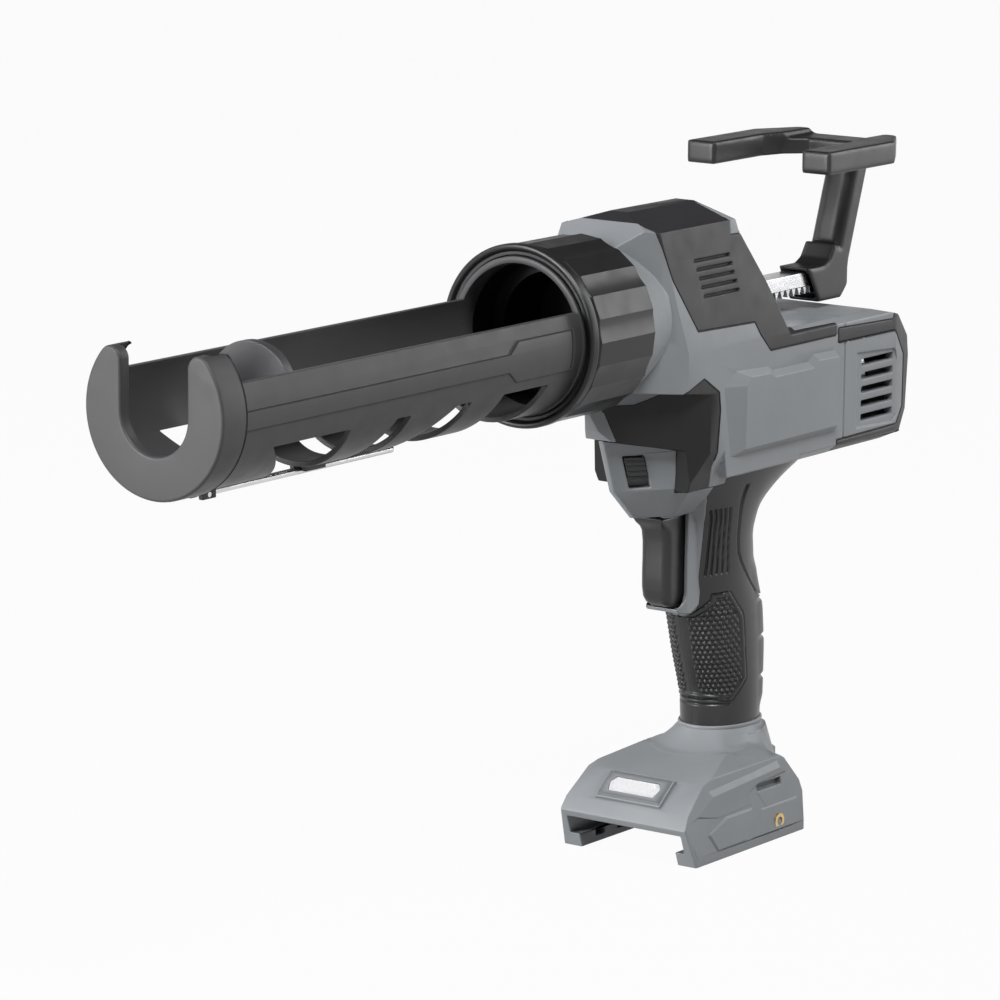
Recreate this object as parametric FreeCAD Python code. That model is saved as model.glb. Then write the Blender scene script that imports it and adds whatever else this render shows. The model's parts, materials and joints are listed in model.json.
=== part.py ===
import FreeCAD, Part
import math
import os

# A cordless caulking tool without its battery. +X points to the nozzle end, +Y to the tool's left
# and +Z up. The origin is on the plunger's axis, in the plane of the collar's front face.
# All sizes are in millimetres.

# Clearances and cuts that several pieces share
slide_gap = 0.3
shaft_gap = 0.04
overrun = 1.0
deep_cut = 400.0

# The standard cartridge and the holder round it
cartridge_diameter = 50.0
cartridge_length = 215.0
cartridge_room = 1.0
holder_wall = 2.0
holder_edge_height = 11.0
cap_plate = 5.2
cap_lip = 1.0
cap_skirt = 12.5
cap_slot_half_width = 14.0
cap_slot_floor = 14.2
cap_prong_height = 20.5
window_top = 12.4
band_low_share = 0.31
band_proud = 0.5
band_height = 6.5
panel_height = 14.5
panel_length = 33.0
panel_taper = 5.5

# The collar that locks the holder, and the spigot that both run on
collar_length = 39.6
collar_rim_radius = 33.0
collar_body_radius = 32.5
collar_rim_length = 4.0
collar_neck_length = 1.4
collar_neck_radius = 31.4
collar_lobes = 12
collar_lobe_share = 0.57
flange_radius = 30.0
flange_length = 4.7
spigot_bore_room = 0.8
spigot_seat_depth = 11.7
spigot_tail = 3.4
spigot_shoulder_radius = 21.0

# The puncture wire under the holder
wire_diameter = 2.6
wire_length = 102.0
wire_drop = 0.4
wire_pivot_share = 0.8785
clip_share = 0.597
knuckle_width = 7.0
knuckle_length = 7.0
clip_length = 11.0
wire_eye_radius = 1.5
wire_eye_width = 2.2
wire_pin_radius = 0.9

# The rack, its piston and the pull handle
rack_width = 9.0
rack_top = 2.4
rack_height = 8.2
rack_module = 1.25
rack_length = 338.5
rack_plain_front = 50.0
rack_plain_rear = 6.5
tooth_width_share = 0.39
tooth_flank_angle = 20.0
piston_radius = 17.7
piston_thickness = 4.0
piston_setback = 44.0
piston_hub_radius = 8.0
piston_hub_length = 9.0
piston_screw_radius = 2.0
piston_screw_length = 14.0
piston_screw_head_radius = 4.2
piston_screw_head = 2.2
boot_half_width = 7.0
boot_top = 4.2
boot_bottom = -9.6
boot_rake = 8.0
boot_length = 28.5
boot_socket_depth = 14.0
boot_mouth_depth = 12.0
boot_wall = 1.4
boot_blend = 4.0
post_depth = 13.0
post_width = 14.0
post_round = 4.5
post_lean = 17.5
post_setback = 21.6
yoke_bottom = 44.4
yoke_thickness = 8.6
yoke_reach = 26.0
yoke_length = 72.0
yoke_back_slope = 9.5
yoke_web_drop = 2.3
yoke_half_width = 32.0
yoke_arm_width = 12.6
yoke_arm_round = 3.0
handle_pin_radius = 1.5
handle_pin_setback = 11.75

# The pinion and what carries it
pinion_teeth = 12
pinion_setback = 48.0
pinion_width = 8.0
pinion_shaft_radius = 4.0
pinion_bearing_radius = 8.0
cheek_thickness = 4.0
cheek_gap = 0.6
bracket_reach = 11.0
bracket_wall = 4.0

# The drive: motor and gearbox on one axis below the rack
drive_drop = 38.0
gearbox_setback = 20.0
gearbox_length = 38.0
gearbox_radius = 18.0
motor_length = 57.0
motor_radius = 18.0
motor_can_wall = 3.2
motor_air_gap = 0.5
motor_shaft_radius = 2.5
motor_bearing_radius = 6.0
motor_bearing_length = 4.0
fan_radius = 15.0
fan_length = 6.0
fan_blades = 11
fan_blade_thickness = 1.2
fan_hub_radius = 5.0
shaft_nose = 6.0
shaft_tail = 9.5

# The upper case: gear case, chin and motor barrel, with their black skins
collar_rear_gap = 0.4
case_length = 186.0
case_rise = 38.0
case_drop = 64.0
case_half_width = 25.0
skin = 2.0
case_wall = 2.4
flare_radius = 31.4
flare_tail_radius = 24.0
flare_length = 22.0
rack_door_room = 1.0
vent_count = 5
vent_depth = 1.0
louvre_count = 5
louvre_height = 2.6
plate_proud = 0.8
panel_recess = 0.8
seam_width = 0.8
seam_depth = 0.7
rib_thickness = 2.4
guide_length = 8.0
guide_radius = 24.0

# The trigger nose below the chin
nose_length = 51.0
nose_height = 34.5
nose_half_width = 18.0
nose_prow = 1.0
nose_wall = 3.6
nose_setback = 11.5
nose_overlap = 21.0

# The trigger, its guard and its spring
trigger_half_width = 6.6
trigger_tuck = 0.5
trigger_height = 36.4
trigger_setback = 42.5
trigger_depth = 23.5
trigger_travel = 7.0
guard_half_width = 8.6
guard_height = 46.0
guard_depth = 22.0
guard_setback = 48.0
guard_lip = 2.6
spring_radius = 3.0
spring_wire = 1.1
spring_turns = 5
spring_pocket = 9.0

# The lock slider on the nose's left flank
slider_width = 7.8
slider_height = 8.9
slider_travel = 4.0
slider_depth = 2.2
slider_proud = 0.9
slider_ribs = 4
slider_rib_height = 0.9
slider_place_share = 0.34
slider_drop = 9.2

# The handle: stations from its top to its neck
handle_overlap = 6.0
handle_height = 108.0
handle_setback = 36.0
handle_run = 116.0
handle_half_width = 18.0
grip_skin = 2.5
handle_wall = 2.6
grip_slots = 5
grip_slot_width = 1.5
grip_slot_depth = 1.0
grip_slot_pitch = 3.5

# The foot with its battery bay
foot_lead = 7.5
foot_length = 82.5
foot_half_width = 30.0
foot_drop = 39.0
foot_height = 41.0
foot_wall = 2.6
neck_height = 12.0
neck_flare = 6.0
bay_half_width = 25.6
bay_ceiling = 12.4
bay_length = 72.0
rail_height = 5.4
rail_depth = 4.0
rail_holes = 4
rail_hole_length = 6.0
rail_hole_height = 2.4
insert_radius = 3.0
insert_bore = 1.65
insert_setback = 61.5
insert_height = 6.7
insert_length = 3.4
lens_plate_half_width = 14.4
lens_plate_length = 13.0
lens_plate_proud = 1.4
lens_half_width = 11.0
lens_length = 6.6
lens_thickness = 3.0
lens_proud = 0.7
board_thickness = 1.6
terminal_length = 16.0
terminal_half_width = 13.0
terminal_height = 7.0
blade_count = 4
blade_thickness = 0.9
blade_length = 9.0
blade_height = 4.4
foot_vent_setback = 49.5
foot_vent_length = 16.5
foot_vent_height = 2.6
foot_vent_rise = 20.0

# Inner electrics and fasteners
switch_length = 14.0
switch_half_width = 7.6
switch_height = 24.0
switch_gap = 4.4
control_length = 3.0
control_half_width = 7.4
control_height = 30.0
screw_radius = 1.5
screw_head_radius = 3.0
screw_head = 2.2
screw_grip = 9.0
boss_radius = 3.2

# Places that follow from the sizes above
holder_bore = cartridge_diameter / 2 + cartridge_room
holder_radius = holder_bore + holder_wall
cap_radius = holder_radius + cap_lip
collar_bore = flange_radius + slide_gap
flange_front = -collar_rim_length - slide_gap
flange_rear = flange_front - flange_length
spigot_front = flange_rear - slide_gap
seat_rear = spigot_front - spigot_seat_depth
holder_front = seat_rear + cartridge_length
holder_reach = holder_front + cap_plate
case_front = -collar_length - collar_rear_gap
piston_x = holder_front - piston_setback
rack_front = piston_x - piston_thickness
rack_rear = rack_front - rack_length
boot_front = rack_rear + boot_socket_depth
boot_rear = boot_front - boot_length
handle_pin_x = boot_front - handle_pin_setback
post_foot_x = boot_front - post_setback
yoke_tip_x = boot_front + yoke_reach
yoke_rear_x = yoke_tip_x - yoke_length
pinion_x = case_front - pinion_setback
bracket_front = pinion_x + bracket_reach
gearbox_front = pinion_x - gearbox_setback
rack_bottom = rack_top - rack_height
rack_pitch = math.pi * rack_module
pinion_pitch_radius = rack_module * pinion_teeth / 2
pinion_z = rack_bottom + rack_module - pinion_pitch_radius
drive_z = -drive_drop
motor_front = gearbox_front - gearbox_length
motor_rear = motor_front - motor_length
case_inner = skin + case_wall
wire_z = -holder_radius - wire_drop - wire_diameter / 2
wire_pivot_x = holder_reach * wire_pivot_share
clip_x = holder_reach * clip_share
yoke_top = yoke_bottom + yoke_thickness
nose_front = case_front - nose_setback
nose_top = nose_overlap - case_drop
trigger_top = nose_top - nose_height + trigger_tuck
trigger_front = case_front - trigger_setback
guard_front = case_front - guard_setback
guard_bottom = trigger_top - trigger_height - guard_lip
handle_top = handle_overlap - case_drop
handle_front = case_front - handle_setback
foot_front = handle_front + foot_lead
foot_bottom = handle_top - handle_height - foot_drop
insert_x = foot_front - insert_setback
foot_vent_front = foot_front - foot_vent_setback
trigger_rear = trigger_front - trigger_depth
trigger_middle = trigger_top - trigger_height / 2
switch_front = trigger_rear - trigger_travel - switch_gap
spring_length = spring_pocket + trigger_travel + switch_gap
bay_top = foot_bottom + bay_ceiling
lens_top = lens_plate_proud + lens_proud
lens_low = lens_top - lens_thickness
led_board_low = lens_low - board_thickness

# Outlines as shares of the boxes that they follow
gear_side_shares = [
    (0, 0.9), (0.12, 1), (0.345, 1), (0.366, 0.905), (0.46, 0.69), (0.53, 0.5), (0.57, 0.33),
    (0.57, 0.015), (0.31, 0.015), (0.28, 0.33), (0, 0.39)]
gear_plan_shares = [(0, 0.5), (0.1, 0.86), (0.17, 1), (0.6, 1)]
gear_section_shares = [(0.16, 1), (0.85, 0.945), (1, 0.5), (1, 0)]
chin_side_shares = [
    (0.012, 0.5), (0.344, 0.5), (0.344, -0.02), (0.212, -0.02), (0.2, 0.137),
    (0.057, 0.193), (0.034, 0.232), (0.016, 0.304)]
chin_plan_shares = [(0.018, 0.04), (0.12, 0.52), (0.25, 1), (0.35, 1)]
chin_section_shares = [(1, 0.5), (1, 0.12), (0.8, -0.02)]
motor_side_shares = [
    (0.37, 0.507), (0.86, 0.507), (0.95, 0.471), (1.018, 0.373), (1.028, 0.294),
    (1.012, 0.088), (0.97, 0.015), (0.91, 0), (0.37, 0)]
motor_plan_shares = [(0.37, 1), (0.935, 1), (1.028, 0.8)]
motor_section_shares = [(0.88, 0.507), (1, 0.485), (1, 0.03), (0.84, 0)]
cover_shares = [
    (0.118, 1.05), (0.084, 0.962), (0.129, 0.771), (0.207, 0.572), (0.406, 0.562),
    (0.426, 0.51), (0.462, 0.446), (0.707, 0.446), (0.707, 0.492), (0.56, 0.495),
    (0.56, 0.7), (0.39, 0.89), (0.337, 0.893), (0.337, 0.945), (0.35, 1.05)]
band_outer_shares = [
    (0.711, 0.472), (0.92, 0.46), (0.94, 0.55), (1.1, 0.55), (1.1, -0.1), (0.711, -0.1),
    (0.711, 0.05), (0.945, 0.055), (0.985, 0.108), (0.988, 0.309), (0.93, 0.412),
    (0.711, 0.415)]
side_panel_shares = [
    (0.041, 0.32), (0.097, 0.318), (0.226, 0.398), (0.279, 0.338), (0.284, 0.272), (0.272, 0.062),
    (0.3, -0.1), (0.205, -0.1), (0.197, 0.13), (0.076, 0.15)]
plate_shares = [
    (0.366, 0.325), (0.39, 0.366), (0.49, 0.366), (0.515, 0.345), (0.62, 0.345),
    (0.64, 0.385), (0.69, 0.385), (0.7, 0.37), (0.7, 0.102), (0.366, 0.102)]
vent_start_share = 0.205
vent_end_share = 0.33
vent_top_share = 0.828
vent_step_share = 0.033
vent_rake_share = 0.007
seam_share = 0.735
louvre_start_share = 0.81
louvre_end_share = 0.93
louvre_top_share = 0.33
louvre_step_share = 0.0525
louvre_panel_shares = [
    (0.785, 0.36), (0.93, 0.345), (0.955, 0.28), (0.95, 0.1), (0.925, 0.065), (0.785, 0.075)]
nose_side_shares = [
    (-0.1, 0.96), (0, 0.95), (0.504, 0.8), (0.567, 0.313), (1, 0.29), (1, -0.1), (-0.1, -0.1)]
# Each nose level: height share, prow share, flank end share and width share
nose_level_shares = [(1, 0, 0.5, 1), (0.362, 0.16, 0.66, 1), (0, 0.435, 0.66, 0.5)]
guard_side_shares = [
    (0.2, 0.062), (0.25, 0.018), (0.527, 0), (0.773, 0.054), (0.84, 0.239), (0.895, 0.652),
    (1, 0.87), (1, 1), (0.455, 1), (0.423, 0.783), (0.41, 0.174), (0.36, 0.1), (0.28, 0.075)]
guard_plan_shares = [(0, 0.2), (0.12, 0.7), (0.4, 1), (1, 1)]
trigger_side_shares = [
    (0, 1), (0.02, 0.93), (0.14, 0.84), (0.18, 0.6), (0.17, 0.3), (0.22, 0.12), (0.34, 0.02),
    (0.47, 0), (1, 0), (1, 1)]
# Each handle station: height share, front share, back share and width share
handle_station_shares = [
    (0, 0, 1, 1), (0.065, 0.03, 0.95, 0.97), (0.13, 0.1, 0.765, 0.93), (0.2, 0.19, 0.625, 0.89),
    (0.29, 0.207, 0.58, 0.86), (0.44, 0.21, 0.6, 0.83), (0.57, 0.247, 0.645, 0.81),
    (0.71, 0.28, 0.66, 0.78), (0.85, 0.328, 0.655, 0.75), (1, 0.34, 0.647, 0.75)]
foot_side_shares = [
    (0.067, 0), (0.002, 0.36), (0.038, 0.48), (0.185, 0.71), (0.5, 0.85), (0.73, 0.85), (0.85, 0.71),
    (0.95, 0.47), (1, 0.15), (0.99, 0)]
foot_plan_shares = [(0, 0.93), (0.08, 1), (0.95, 1), (1, 0.82)]
foot_section_shares = [(0.6, 0.86), (0.86, 0.74), (1, 0.09), (1, 0)]
window_shares = [
    [(0.846, 0), (0.641, 0), (0.635, 1), (0.758, 1)],
    [(0.512, 0), (0.475, 0), (0.492, 1), (0.562, 1)],
    [(0.341, 0), (0.304, 0), (0.331, 1), (0.452, 1)],
    [(0.209, 0), (0.08, 0), (0.095, 1), (0.24, 1)]]
yoke_crotch_share = 0.7
yoke_corner_share = 0.64
screw_place_shares = [(0.355, 0.77), (0.085, 0.8), (0.953, 0.255)]
handle_screw_share = 0.8


def box(x0, x1, y0, y1, z0, z1):
    """Box between two corners."""
    corner = FreeCAD.Vector(min(x0, x1), min(y0, y1), min(z0, z1))
    return Part.makeBox(abs(x1 - x0), abs(y1 - y0), abs(z1 - z0), corner)


def rod_x(radius, x0, x1, y=0, z=0):
    """Cylinder along X between two stations."""
    start = FreeCAD.Vector(min(x0, x1), y, z)
    return Part.makeCylinder(radius, abs(x1 - x0), start, FreeCAD.Vector(1, 0, 0))


def rod_y(radius, y0, y1, x=0, z=0):
    """Cylinder along Y between two stations."""
    start = FreeCAD.Vector(x, min(y0, y1), z)
    return Part.makeCylinder(radius, abs(y1 - y0), start, FreeCAD.Vector(0, 1, 0))


def ring_x(outer, inner, x0, x1, z=0):
    """Tube along X."""
    low = min(x0, x1)
    high = max(x0, x1)
    return rod_x(outer, low, high, 0, z).cut(rod_x(inner, low - overrun, high + overrun, 0, z))


def polygon(vectors, inset=0):
    """Flat face through points, shrunk by an inset."""
    wire = Part.makePolygon(vectors + [vectors[0]])
    face = Part.Face(wire)
    if inset:
        face = face.makeOffset2D(-inset, 2)
    return face


def prism_y(points, y0, y1, inset=0):
    """Outline of x and z pairs, drawn along Y."""
    face = polygon([FreeCAD.Vector(x, y0, z) for x, z in points], inset)
    return face.extrude(FreeCAD.Vector(0, y1 - y0, 0))


def prism_z(points, z0, z1, inset=0):
    """Outline of x and y pairs, drawn along Z."""
    face = polygon([FreeCAD.Vector(x, y, z0) for x, y in points], inset)
    return face.extrude(FreeCAD.Vector(0, 0, z1 - z0))


def prism_x(points, x0, x1, inset=0):
    """Outline of y and z pairs, drawn along X."""
    face = polygon([FreeCAD.Vector(x0, y, z) for y, z in points], inset)
    return face.extrude(FreeCAD.Vector(x1 - x0, 0, 0))


def spread(shares, start, run, base, rise):
    """Turn pairs of shares into places in a box."""
    return [(start + s * run, base + t * rise) for s, t in shares]


def both_sides(half):
    """Complete a half outline by its mirror image across the first axis of each pair."""
    return half + [(a, -b) for a, b in reversed(half)]


def both_flanks(half):
    """Complete a half section by its mirror image across the middle plane."""
    return half + [(-a, b) for a, b in reversed(half)]


def fuse(shapes):
    """One solid from several that overlap."""
    return shapes[0].multiFuse(shapes[1:]).removeSplitter()


def block(side, plan, section, start, run, base, rise, half, inset=0):
    """Faceted body: a side outline, a plan and a section cut out of each other."""
    body = prism_y(spread(side, start, run, base, rise), -half, half, inset)
    plan_points = both_sides(spread(plan, start, run, 0, half))
    body = body.common(prism_z(plan_points, base - rise, base + rise + rise, inset))
    if section:
        section_points = both_flanks(spread(section, 0, half, base, rise))
        body = body.common(prism_x(section_points, start - run, start + run + run, inset))
    return body


def left_half(shape):
    """What lies on the tool's left of the middle plane."""
    return shape.common(box(-deep_cut, deep_cut, 0, deep_cut, -deep_cut, deep_cut))


def right_half(shape):
    """What lies on the tool's right of the middle plane."""
    return shape.common(box(-deep_cut, deep_cut, -deep_cut, 0, -deep_cut, deep_cut))


def save(name, shape):
    """Write one node."""
    shape.exportStep("parts/%s.step" % name)


def case_spread(shares):
    """Places in the case's side view."""
    return spread(shares, case_front, -case_length, -case_drop, case_rise + case_drop)


def case_block(side, plan, section, inset):
    """One faceted body in the case's own box."""
    height = case_rise + case_drop
    return block(side, plan, section, case_front, -case_length, -case_drop, height, case_half_width, inset)


def case_flare(inset):
    """Cone that widens from the gear case to the collar."""
    front = flare_radius - inset
    tail = flare_tail_radius - inset
    start = FreeCAD.Vector(case_front - inset, 0, 0)
    return Part.makeCone(front, tail, flare_length - inset, start, FreeCAD.Vector(-1, 0, 0))


def case_body(inset=0):
    """Gear case, chin, motor barrel and flare as one solid."""
    gear = case_block(gear_side_shares, gear_plan_shares, gear_section_shares, inset)
    chin = case_block(chin_side_shares, chin_plan_shares, chin_section_shares, inset)
    motor = case_block(motor_side_shares, motor_plan_shares, motor_section_shares, inset)
    return fuse([gear, chin, motor, case_flare(inset)])


def nose_section(share, inset=0):
    """Plan of the nose at one height, with its prow ahead and a straight rear."""
    height_share, prow_share, flank_share, width_share = share
    z = nose_top - nose_height * (1 - height_share)
    narrow = 1 - inset / nose_half_width
    wide = nose_half_width * width_share * narrow
    flank = nose_front - flank_share * nose_length
    half = [(nose_front - prow_share * nose_length - inset * 2, nose_prow * narrow),
            (flank - inset, wide), (nose_front - nose_length, wide)]
    return [FreeCAD.Vector(x, y, z) for x, y in both_sides(half)]


def nose_body(inset=0):
    """Wedge below the chin that holds the trigger's top and the lock slider."""
    levels = [polygon(nose_section(share, inset)).OuterWire for share in nose_level_shares]
    body = Part.makeLoft(levels, True, True)
    low = nose_top - nose_height
    side = spread(nose_side_shares, nose_front, -nose_length, low, nose_height)
    body = body.common(prism_y(side, -nose_half_width, nose_half_width, inset))
    return body.common(box(-deep_cut, deep_cut, -deep_cut, deep_cut, low + inset, nose_top))


def handle_station(share, inset):
    """One oval section of the handle."""
    height_share, front_share, back_share, width_share = share
    front = handle_front - front_share * handle_run - inset
    back = handle_front - back_share * handle_run + inset
    half = handle_half_width * width_share - inset
    centre = FreeCAD.Vector((front + back) / 2, 0, handle_top - height_share * handle_height)
    depth = (front - back) / 2
    along = centre + FreeCAD.Vector(depth, 0, 0)
    across = centre + FreeCAD.Vector(0, half, 0)
    if half > depth:
        along, across = across, along
    return Part.Wire([Part.Ellipse(along, across, centre).toShape()])


def handle_body(inset=0):
    """Handle from the motor barrel to the foot, through oval sections."""
    wires = [handle_station(share, inset) for share in handle_station_shares]
    return Part.makeLoft(wires, True, True)


def handle_tongue(inset, length):
    """Straight end of the handle's core, which stands in the foot's neck."""
    face = Part.Face(handle_station(handle_station_shares[-1], inset))
    return face.extrude(FreeCAD.Vector(0, 0, -length))


def foot_block(inset=0):
    """Foot without its neck."""
    return block(foot_side_shares, foot_plan_shares, foot_section_shares, foot_front, -foot_length,
                 foot_bottom, foot_height, foot_half_width, inset)


def foot_body():
    """Foot block with its flared neck."""
    last = handle_station_shares[-1]
    neck = handle_station(last, -grip_skin)
    wide = handle_station(last, -neck_flare)
    wide.translate(FreeCAD.Vector(0, 0, -neck_height))
    return fuse([foot_block(), Part.makeLoft([wide, neck], True, True)])


def guard_body():
    """Frame that the trigger slides in, with a round lip under the trigger."""
    return block(guard_side_shares, guard_plan_shares, None, guard_front, -guard_depth, guard_bottom,
                 guard_height, guard_half_width)


def trigger_pocket():
    """Room that the trigger needs over its whole travel."""
    half = trigger_half_width + slide_gap
    low = trigger_top - trigger_height - slide_gap
    return box(trigger_front + trigger_depth, trigger_rear - trigger_travel - slide_gap, -half, half, low,
               trigger_top + slide_gap)


def flank_axes():
    """The nose's left flank: its upper front corner, then rearward, down along the prow and outward."""
    upper = nose_section(nose_level_shares[0])
    lower = nose_section(nose_level_shares[1])
    along = upper[1] - upper[0]
    middle = upper[0] + along * slider_place_share
    down = lower[0] - upper[0]
    out = down.cross(along)
    for axis in (along, down, out):
        axis.normalize()
    return middle + down * slider_drop, along, down, out


def flank_block(half, top, low, inner, outer):
    """Block in the flank: a half width, two places down the prow and two heights over the flank."""
    start, along, down, out = flank_axes()
    corners = [start + along * a + down * b + out * inner
               for a, b in ((-half, top), (half, top), (half, low), (-half, low))]
    return polygon(corners).extrude(out * (outer - inner))


def slider_recess():
    """Window in the nose that the slider runs in."""
    half = slider_width / 2 + slide_gap
    low = slider_height + slider_travel + slide_gap
    return flank_block(half, -slide_gap, low, -slider_depth - slide_gap, slider_proud + overrun)


def screw_places():
    """Axes of the case screws in the side view."""
    places = case_spread(screw_place_shares)
    middle = handle_front - (handle_station_shares[-2][1] + handle_station_shares[-2][2]) / 2 * handle_run
    places.append((middle, handle_top - handle_screw_share * handle_height))
    return places


def screw_hole(x, z):
    """Shank hole and head pocket of one case screw, from the right."""
    shank = rod_y(screw_radius, -deep_cut, screw_grip, x, z)
    pocket = rod_y(screw_head_radius, -deep_cut, -screw_grip, x, z)
    return shank.fuse(pocket)


def side_plates():
    """Raised plate on each side of the motor barrel."""
    plates = []
    for side in (-1, 1):
        inner = side * (case_half_width - case_wall)
        outer = side * (case_half_width + plate_proud)
        plates.append(prism_y(case_spread(plate_shares), inner, outer))
    return plates


def barrel_lines():
    """Seam round the barrel and the sunk panels that hold the air slots."""
    (seam_x, seam_z), = case_spread([(seam_share, 0)])
    ring = case_body().cut(case_body(seam_depth))
    seam = box(seam_x, seam_x - seam_width, -deep_cut, deep_cut, -deep_cut, deep_cut).common(ring)
    cuts = [seam]
    for side in (-1, 1):
        inner = side * (case_half_width - panel_recess)
        cuts.append(prism_y(case_spread(louvre_panel_shares), inner, side * deep_cut))
    return cuts


def drive_ribs():
    """Ribs in both halves that the gearbox and the motor lie in."""
    room = case_body(skin)
    top = drive_z + gearbox_radius + rib_thickness
    ribs = []
    for x, radius in ((gearbox_front - gearbox_length / 2, gearbox_radius),
                      (motor_front - motor_length / 2, motor_radius)):
        end = x - rib_thickness
        rib = box(x, end, -deep_cut, deep_cut, -deep_cut, top).common(room)
        ribs.append(rib.cut(rod_x(radius + slide_gap, x + overrun, end - overrun, 0, drive_z)))
    return ribs


def switch_ribs():
    """Shelves in the handle that hold the switch and the control board by their sides."""
    room = handle_body(grip_skin)
    shelves = []
    board_front = switch_front - switch_length
    board_middle = trigger_middle - switch_height / 2 - control_height / 2
    for side in (-1, 1):
        shelves.append(box(switch_front, switch_front - switch_length, side * switch_half_width,
                           side * deep_cut, trigger_middle, trigger_middle - rib_thickness))
        shelves.append(box(board_front, board_front - control_length, side * control_half_width,
                           side * deep_cut, board_middle, board_middle - rib_thickness))
    return [shelf.common(room) for shelf in shelves]


def rack_door():
    """Opening in the case's rear slope that the rack runs through."""
    half = rack_width / 2 + rack_door_room
    return box(-deep_cut, pinion_x, -half, half, rack_bottom - rack_door_room, rack_top + rack_door_room)


def spigot_hole():
    """Seat of the spigot's tail in the case's front."""
    return rod_x(flange_radius - slide_gap, case_front - spigot_tail, overrun)


def make_housing():
    """Two clamshell halves: case, nose, guard and handle core."""
    core = handle_body(grip_skin)
    tongue = handle_tongue(grip_skin, neck_height)
    outer = fuse([case_body(), nose_body(), guard_body(), core, tongue] + side_plates())
    inner_wall = grip_skin + handle_wall
    hollow = fuse([case_body(case_inner), nose_body(nose_wall), handle_body(inner_wall),
                   handle_tongue(inner_wall, neck_height + overrun)])
    shell = outer.cut(hollow)
    bosses = []
    for x, z in screw_places():
        bosses.append(rod_y(boss_radius, -deep_cut, deep_cut, x, z).common(outer))
    for group in (bosses, drive_ribs(), switch_ribs()):
        shell = shell.multiFuse(group)
    skins = [cover_skin(), band_skin(), panel_skin()]
    for tool in skins + [trigger_pocket(), slider_recess()] + barrel_lines():
        shell = shell.cut(tool)
    shell = shell.cut(rack_door())
    shell = shell.cut(spigot_hole())
    shell = shell.cut(rod_x(guide_radius, case_front - spigot_tail - guide_length, overrun))
    for tool in louvre_slots():
        shell = shell.cut(tool)
    for x, z in screw_places():
        shell = shell.cut(screw_hole(x, z))
    save("housing_left", left_half(shell))
    save("housing_right", right_half(shell))


def case_skin(shares):
    """Part of the case's outer layer that lies inside an outline."""
    region = prism_y(case_spread(shares), -deep_cut, deep_cut)
    return case_body().common(region).cut(case_body(skin))


def cover_skin():
    """Saddle over the gear case with a tail along the motor barrel."""
    return case_skin(cover_shares).cut(rack_door())


def band_skin():
    """Bumper round the barrel's rear end."""
    return case_skin(band_outer_shares)


def panel_skin():
    """Inlays on both sides of the chin."""
    return case_skin(side_panel_shares).cut([nose_body(), spigot_hole()])


def louvre_slots():
    """Air slots through both sides of the barrel's rear."""
    slots = []
    for index in range(louvre_count):
        top_share = louvre_top_share - index * louvre_step_share
        corners = case_spread([(louvre_start_share, top_share), (louvre_end_share, top_share)])
        (x0, z0), (x1, z1) = corners
        for side in (-1, 1):
            inner = side * (case_half_width - case_inner - overrun)
            outer = side * (case_half_width + overrun)
            slots.append(box(x0, x1, inner, outer, z0, z1 - louvre_height))
    return slots


def gear_width_share(height_share):
    """Share of the case's half width at one height of the gear case's long side."""
    (upper_width, upper), (lower_width, lower) = gear_section_shares[1:3]
    return upper_width + (lower_width - upper_width) * (upper - height_share) / (upper - lower)


def make_cover():
    """Black cover with thin ornamental grooves on both sides."""
    cover = cover_skin()
    for index in range(vent_count):
        top_share = vent_top_share - index * vent_step_share
        shift_share = index * vent_rake_share
        start_share = vent_start_share + shift_share
        end_share = vent_end_share + shift_share
        (x0, z0), (x1, z1) = case_spread([(start_share, top_share), (end_share, top_share)])
        width_share = gear_width_share(top_share)
        for side in (-1, 1):
            inner = side * (case_half_width * width_share - vent_depth)
            cover = cover.cut(box(x0, x1, inner, side * deep_cut, z0, z1 - vent_depth))
    save("top_cover", cover)


def make_skins():
    """Rear bumper and the two chin panels."""
    save("rear_band", band_skin())
    panels = panel_skin()
    save("side_panel_left", left_half(panels))
    save("side_panel_right", right_half(panels))


def make_grip():
    """Overmoulded grip skins with vertical slots."""
    grip = handle_body().cut([case_body(), nose_body(), guard_body(), foot_body(), trigger_pocket(),
                              handle_body(grip_skin), screw_hole(*screw_places()[-1])])
    middle = guard_front - guard_depth - grip_slots * grip_slot_pitch / 2
    top = trigger_top
    for index in range(grip_slots):
        x = middle - (index - grip_slots / 2) * grip_slot_pitch
        for side in (-1, 1):
            depth = side * (handle_half_width - grip_skin - grip_slot_depth)
            slot = box(x, x - grip_slot_width, depth, side * deep_cut, top, top - switch_height)
            grip = grip.cut(slot)
    save("grip_left", left_half(grip))
    save("grip_right", right_half(grip))


def battery_bay():
    """Open room for the battery's head, with the undercut above the rails."""
    front = foot_front + overrun
    rear = foot_front - bay_length
    rail_top = foot_bottom + rail_height
    head = box(front, rear, -bay_half_width, bay_half_width, rail_top, bay_top)
    narrow = bay_half_width - rail_depth
    mouth = box(front, rear, -narrow, narrow, foot_bottom - overrun, bay_top)
    return head.fuse(mouth)


def lens_frame():
    """Placement of the sloping brow: first axis up the slope, third out of it."""
    low, high = spread(foot_side_shares[2:4], foot_front, -foot_length, foot_bottom, foot_height)
    slope = FreeCAD.Vector(high[0] - low[0], 0, high[1] - low[1])
    centre = FreeCAD.Vector((low[0] + high[0]) / 2, 0, (low[1] + high[1]) / 2)
    angle = math.degrees(math.atan2(slope.z, slope.x))
    turn = FreeCAD.Rotation(FreeCAD.Vector(0, -1, 0), angle)
    flip = FreeCAD.Rotation(FreeCAD.Vector(1, 0, 0), 180)
    return FreeCAD.Placement(centre, turn.multiply(flip))


def on_brow(shape):
    """Move a shape built at the origin onto the foot's brow."""
    shape.Placement = lens_frame().multiply(shape.Placement)
    return shape


def brow_box(length, half, low, high):
    """Plate on the brow, between two heights over it."""
    return on_brow(box(-length / 2, length / 2, -half, half, low, high))


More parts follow.
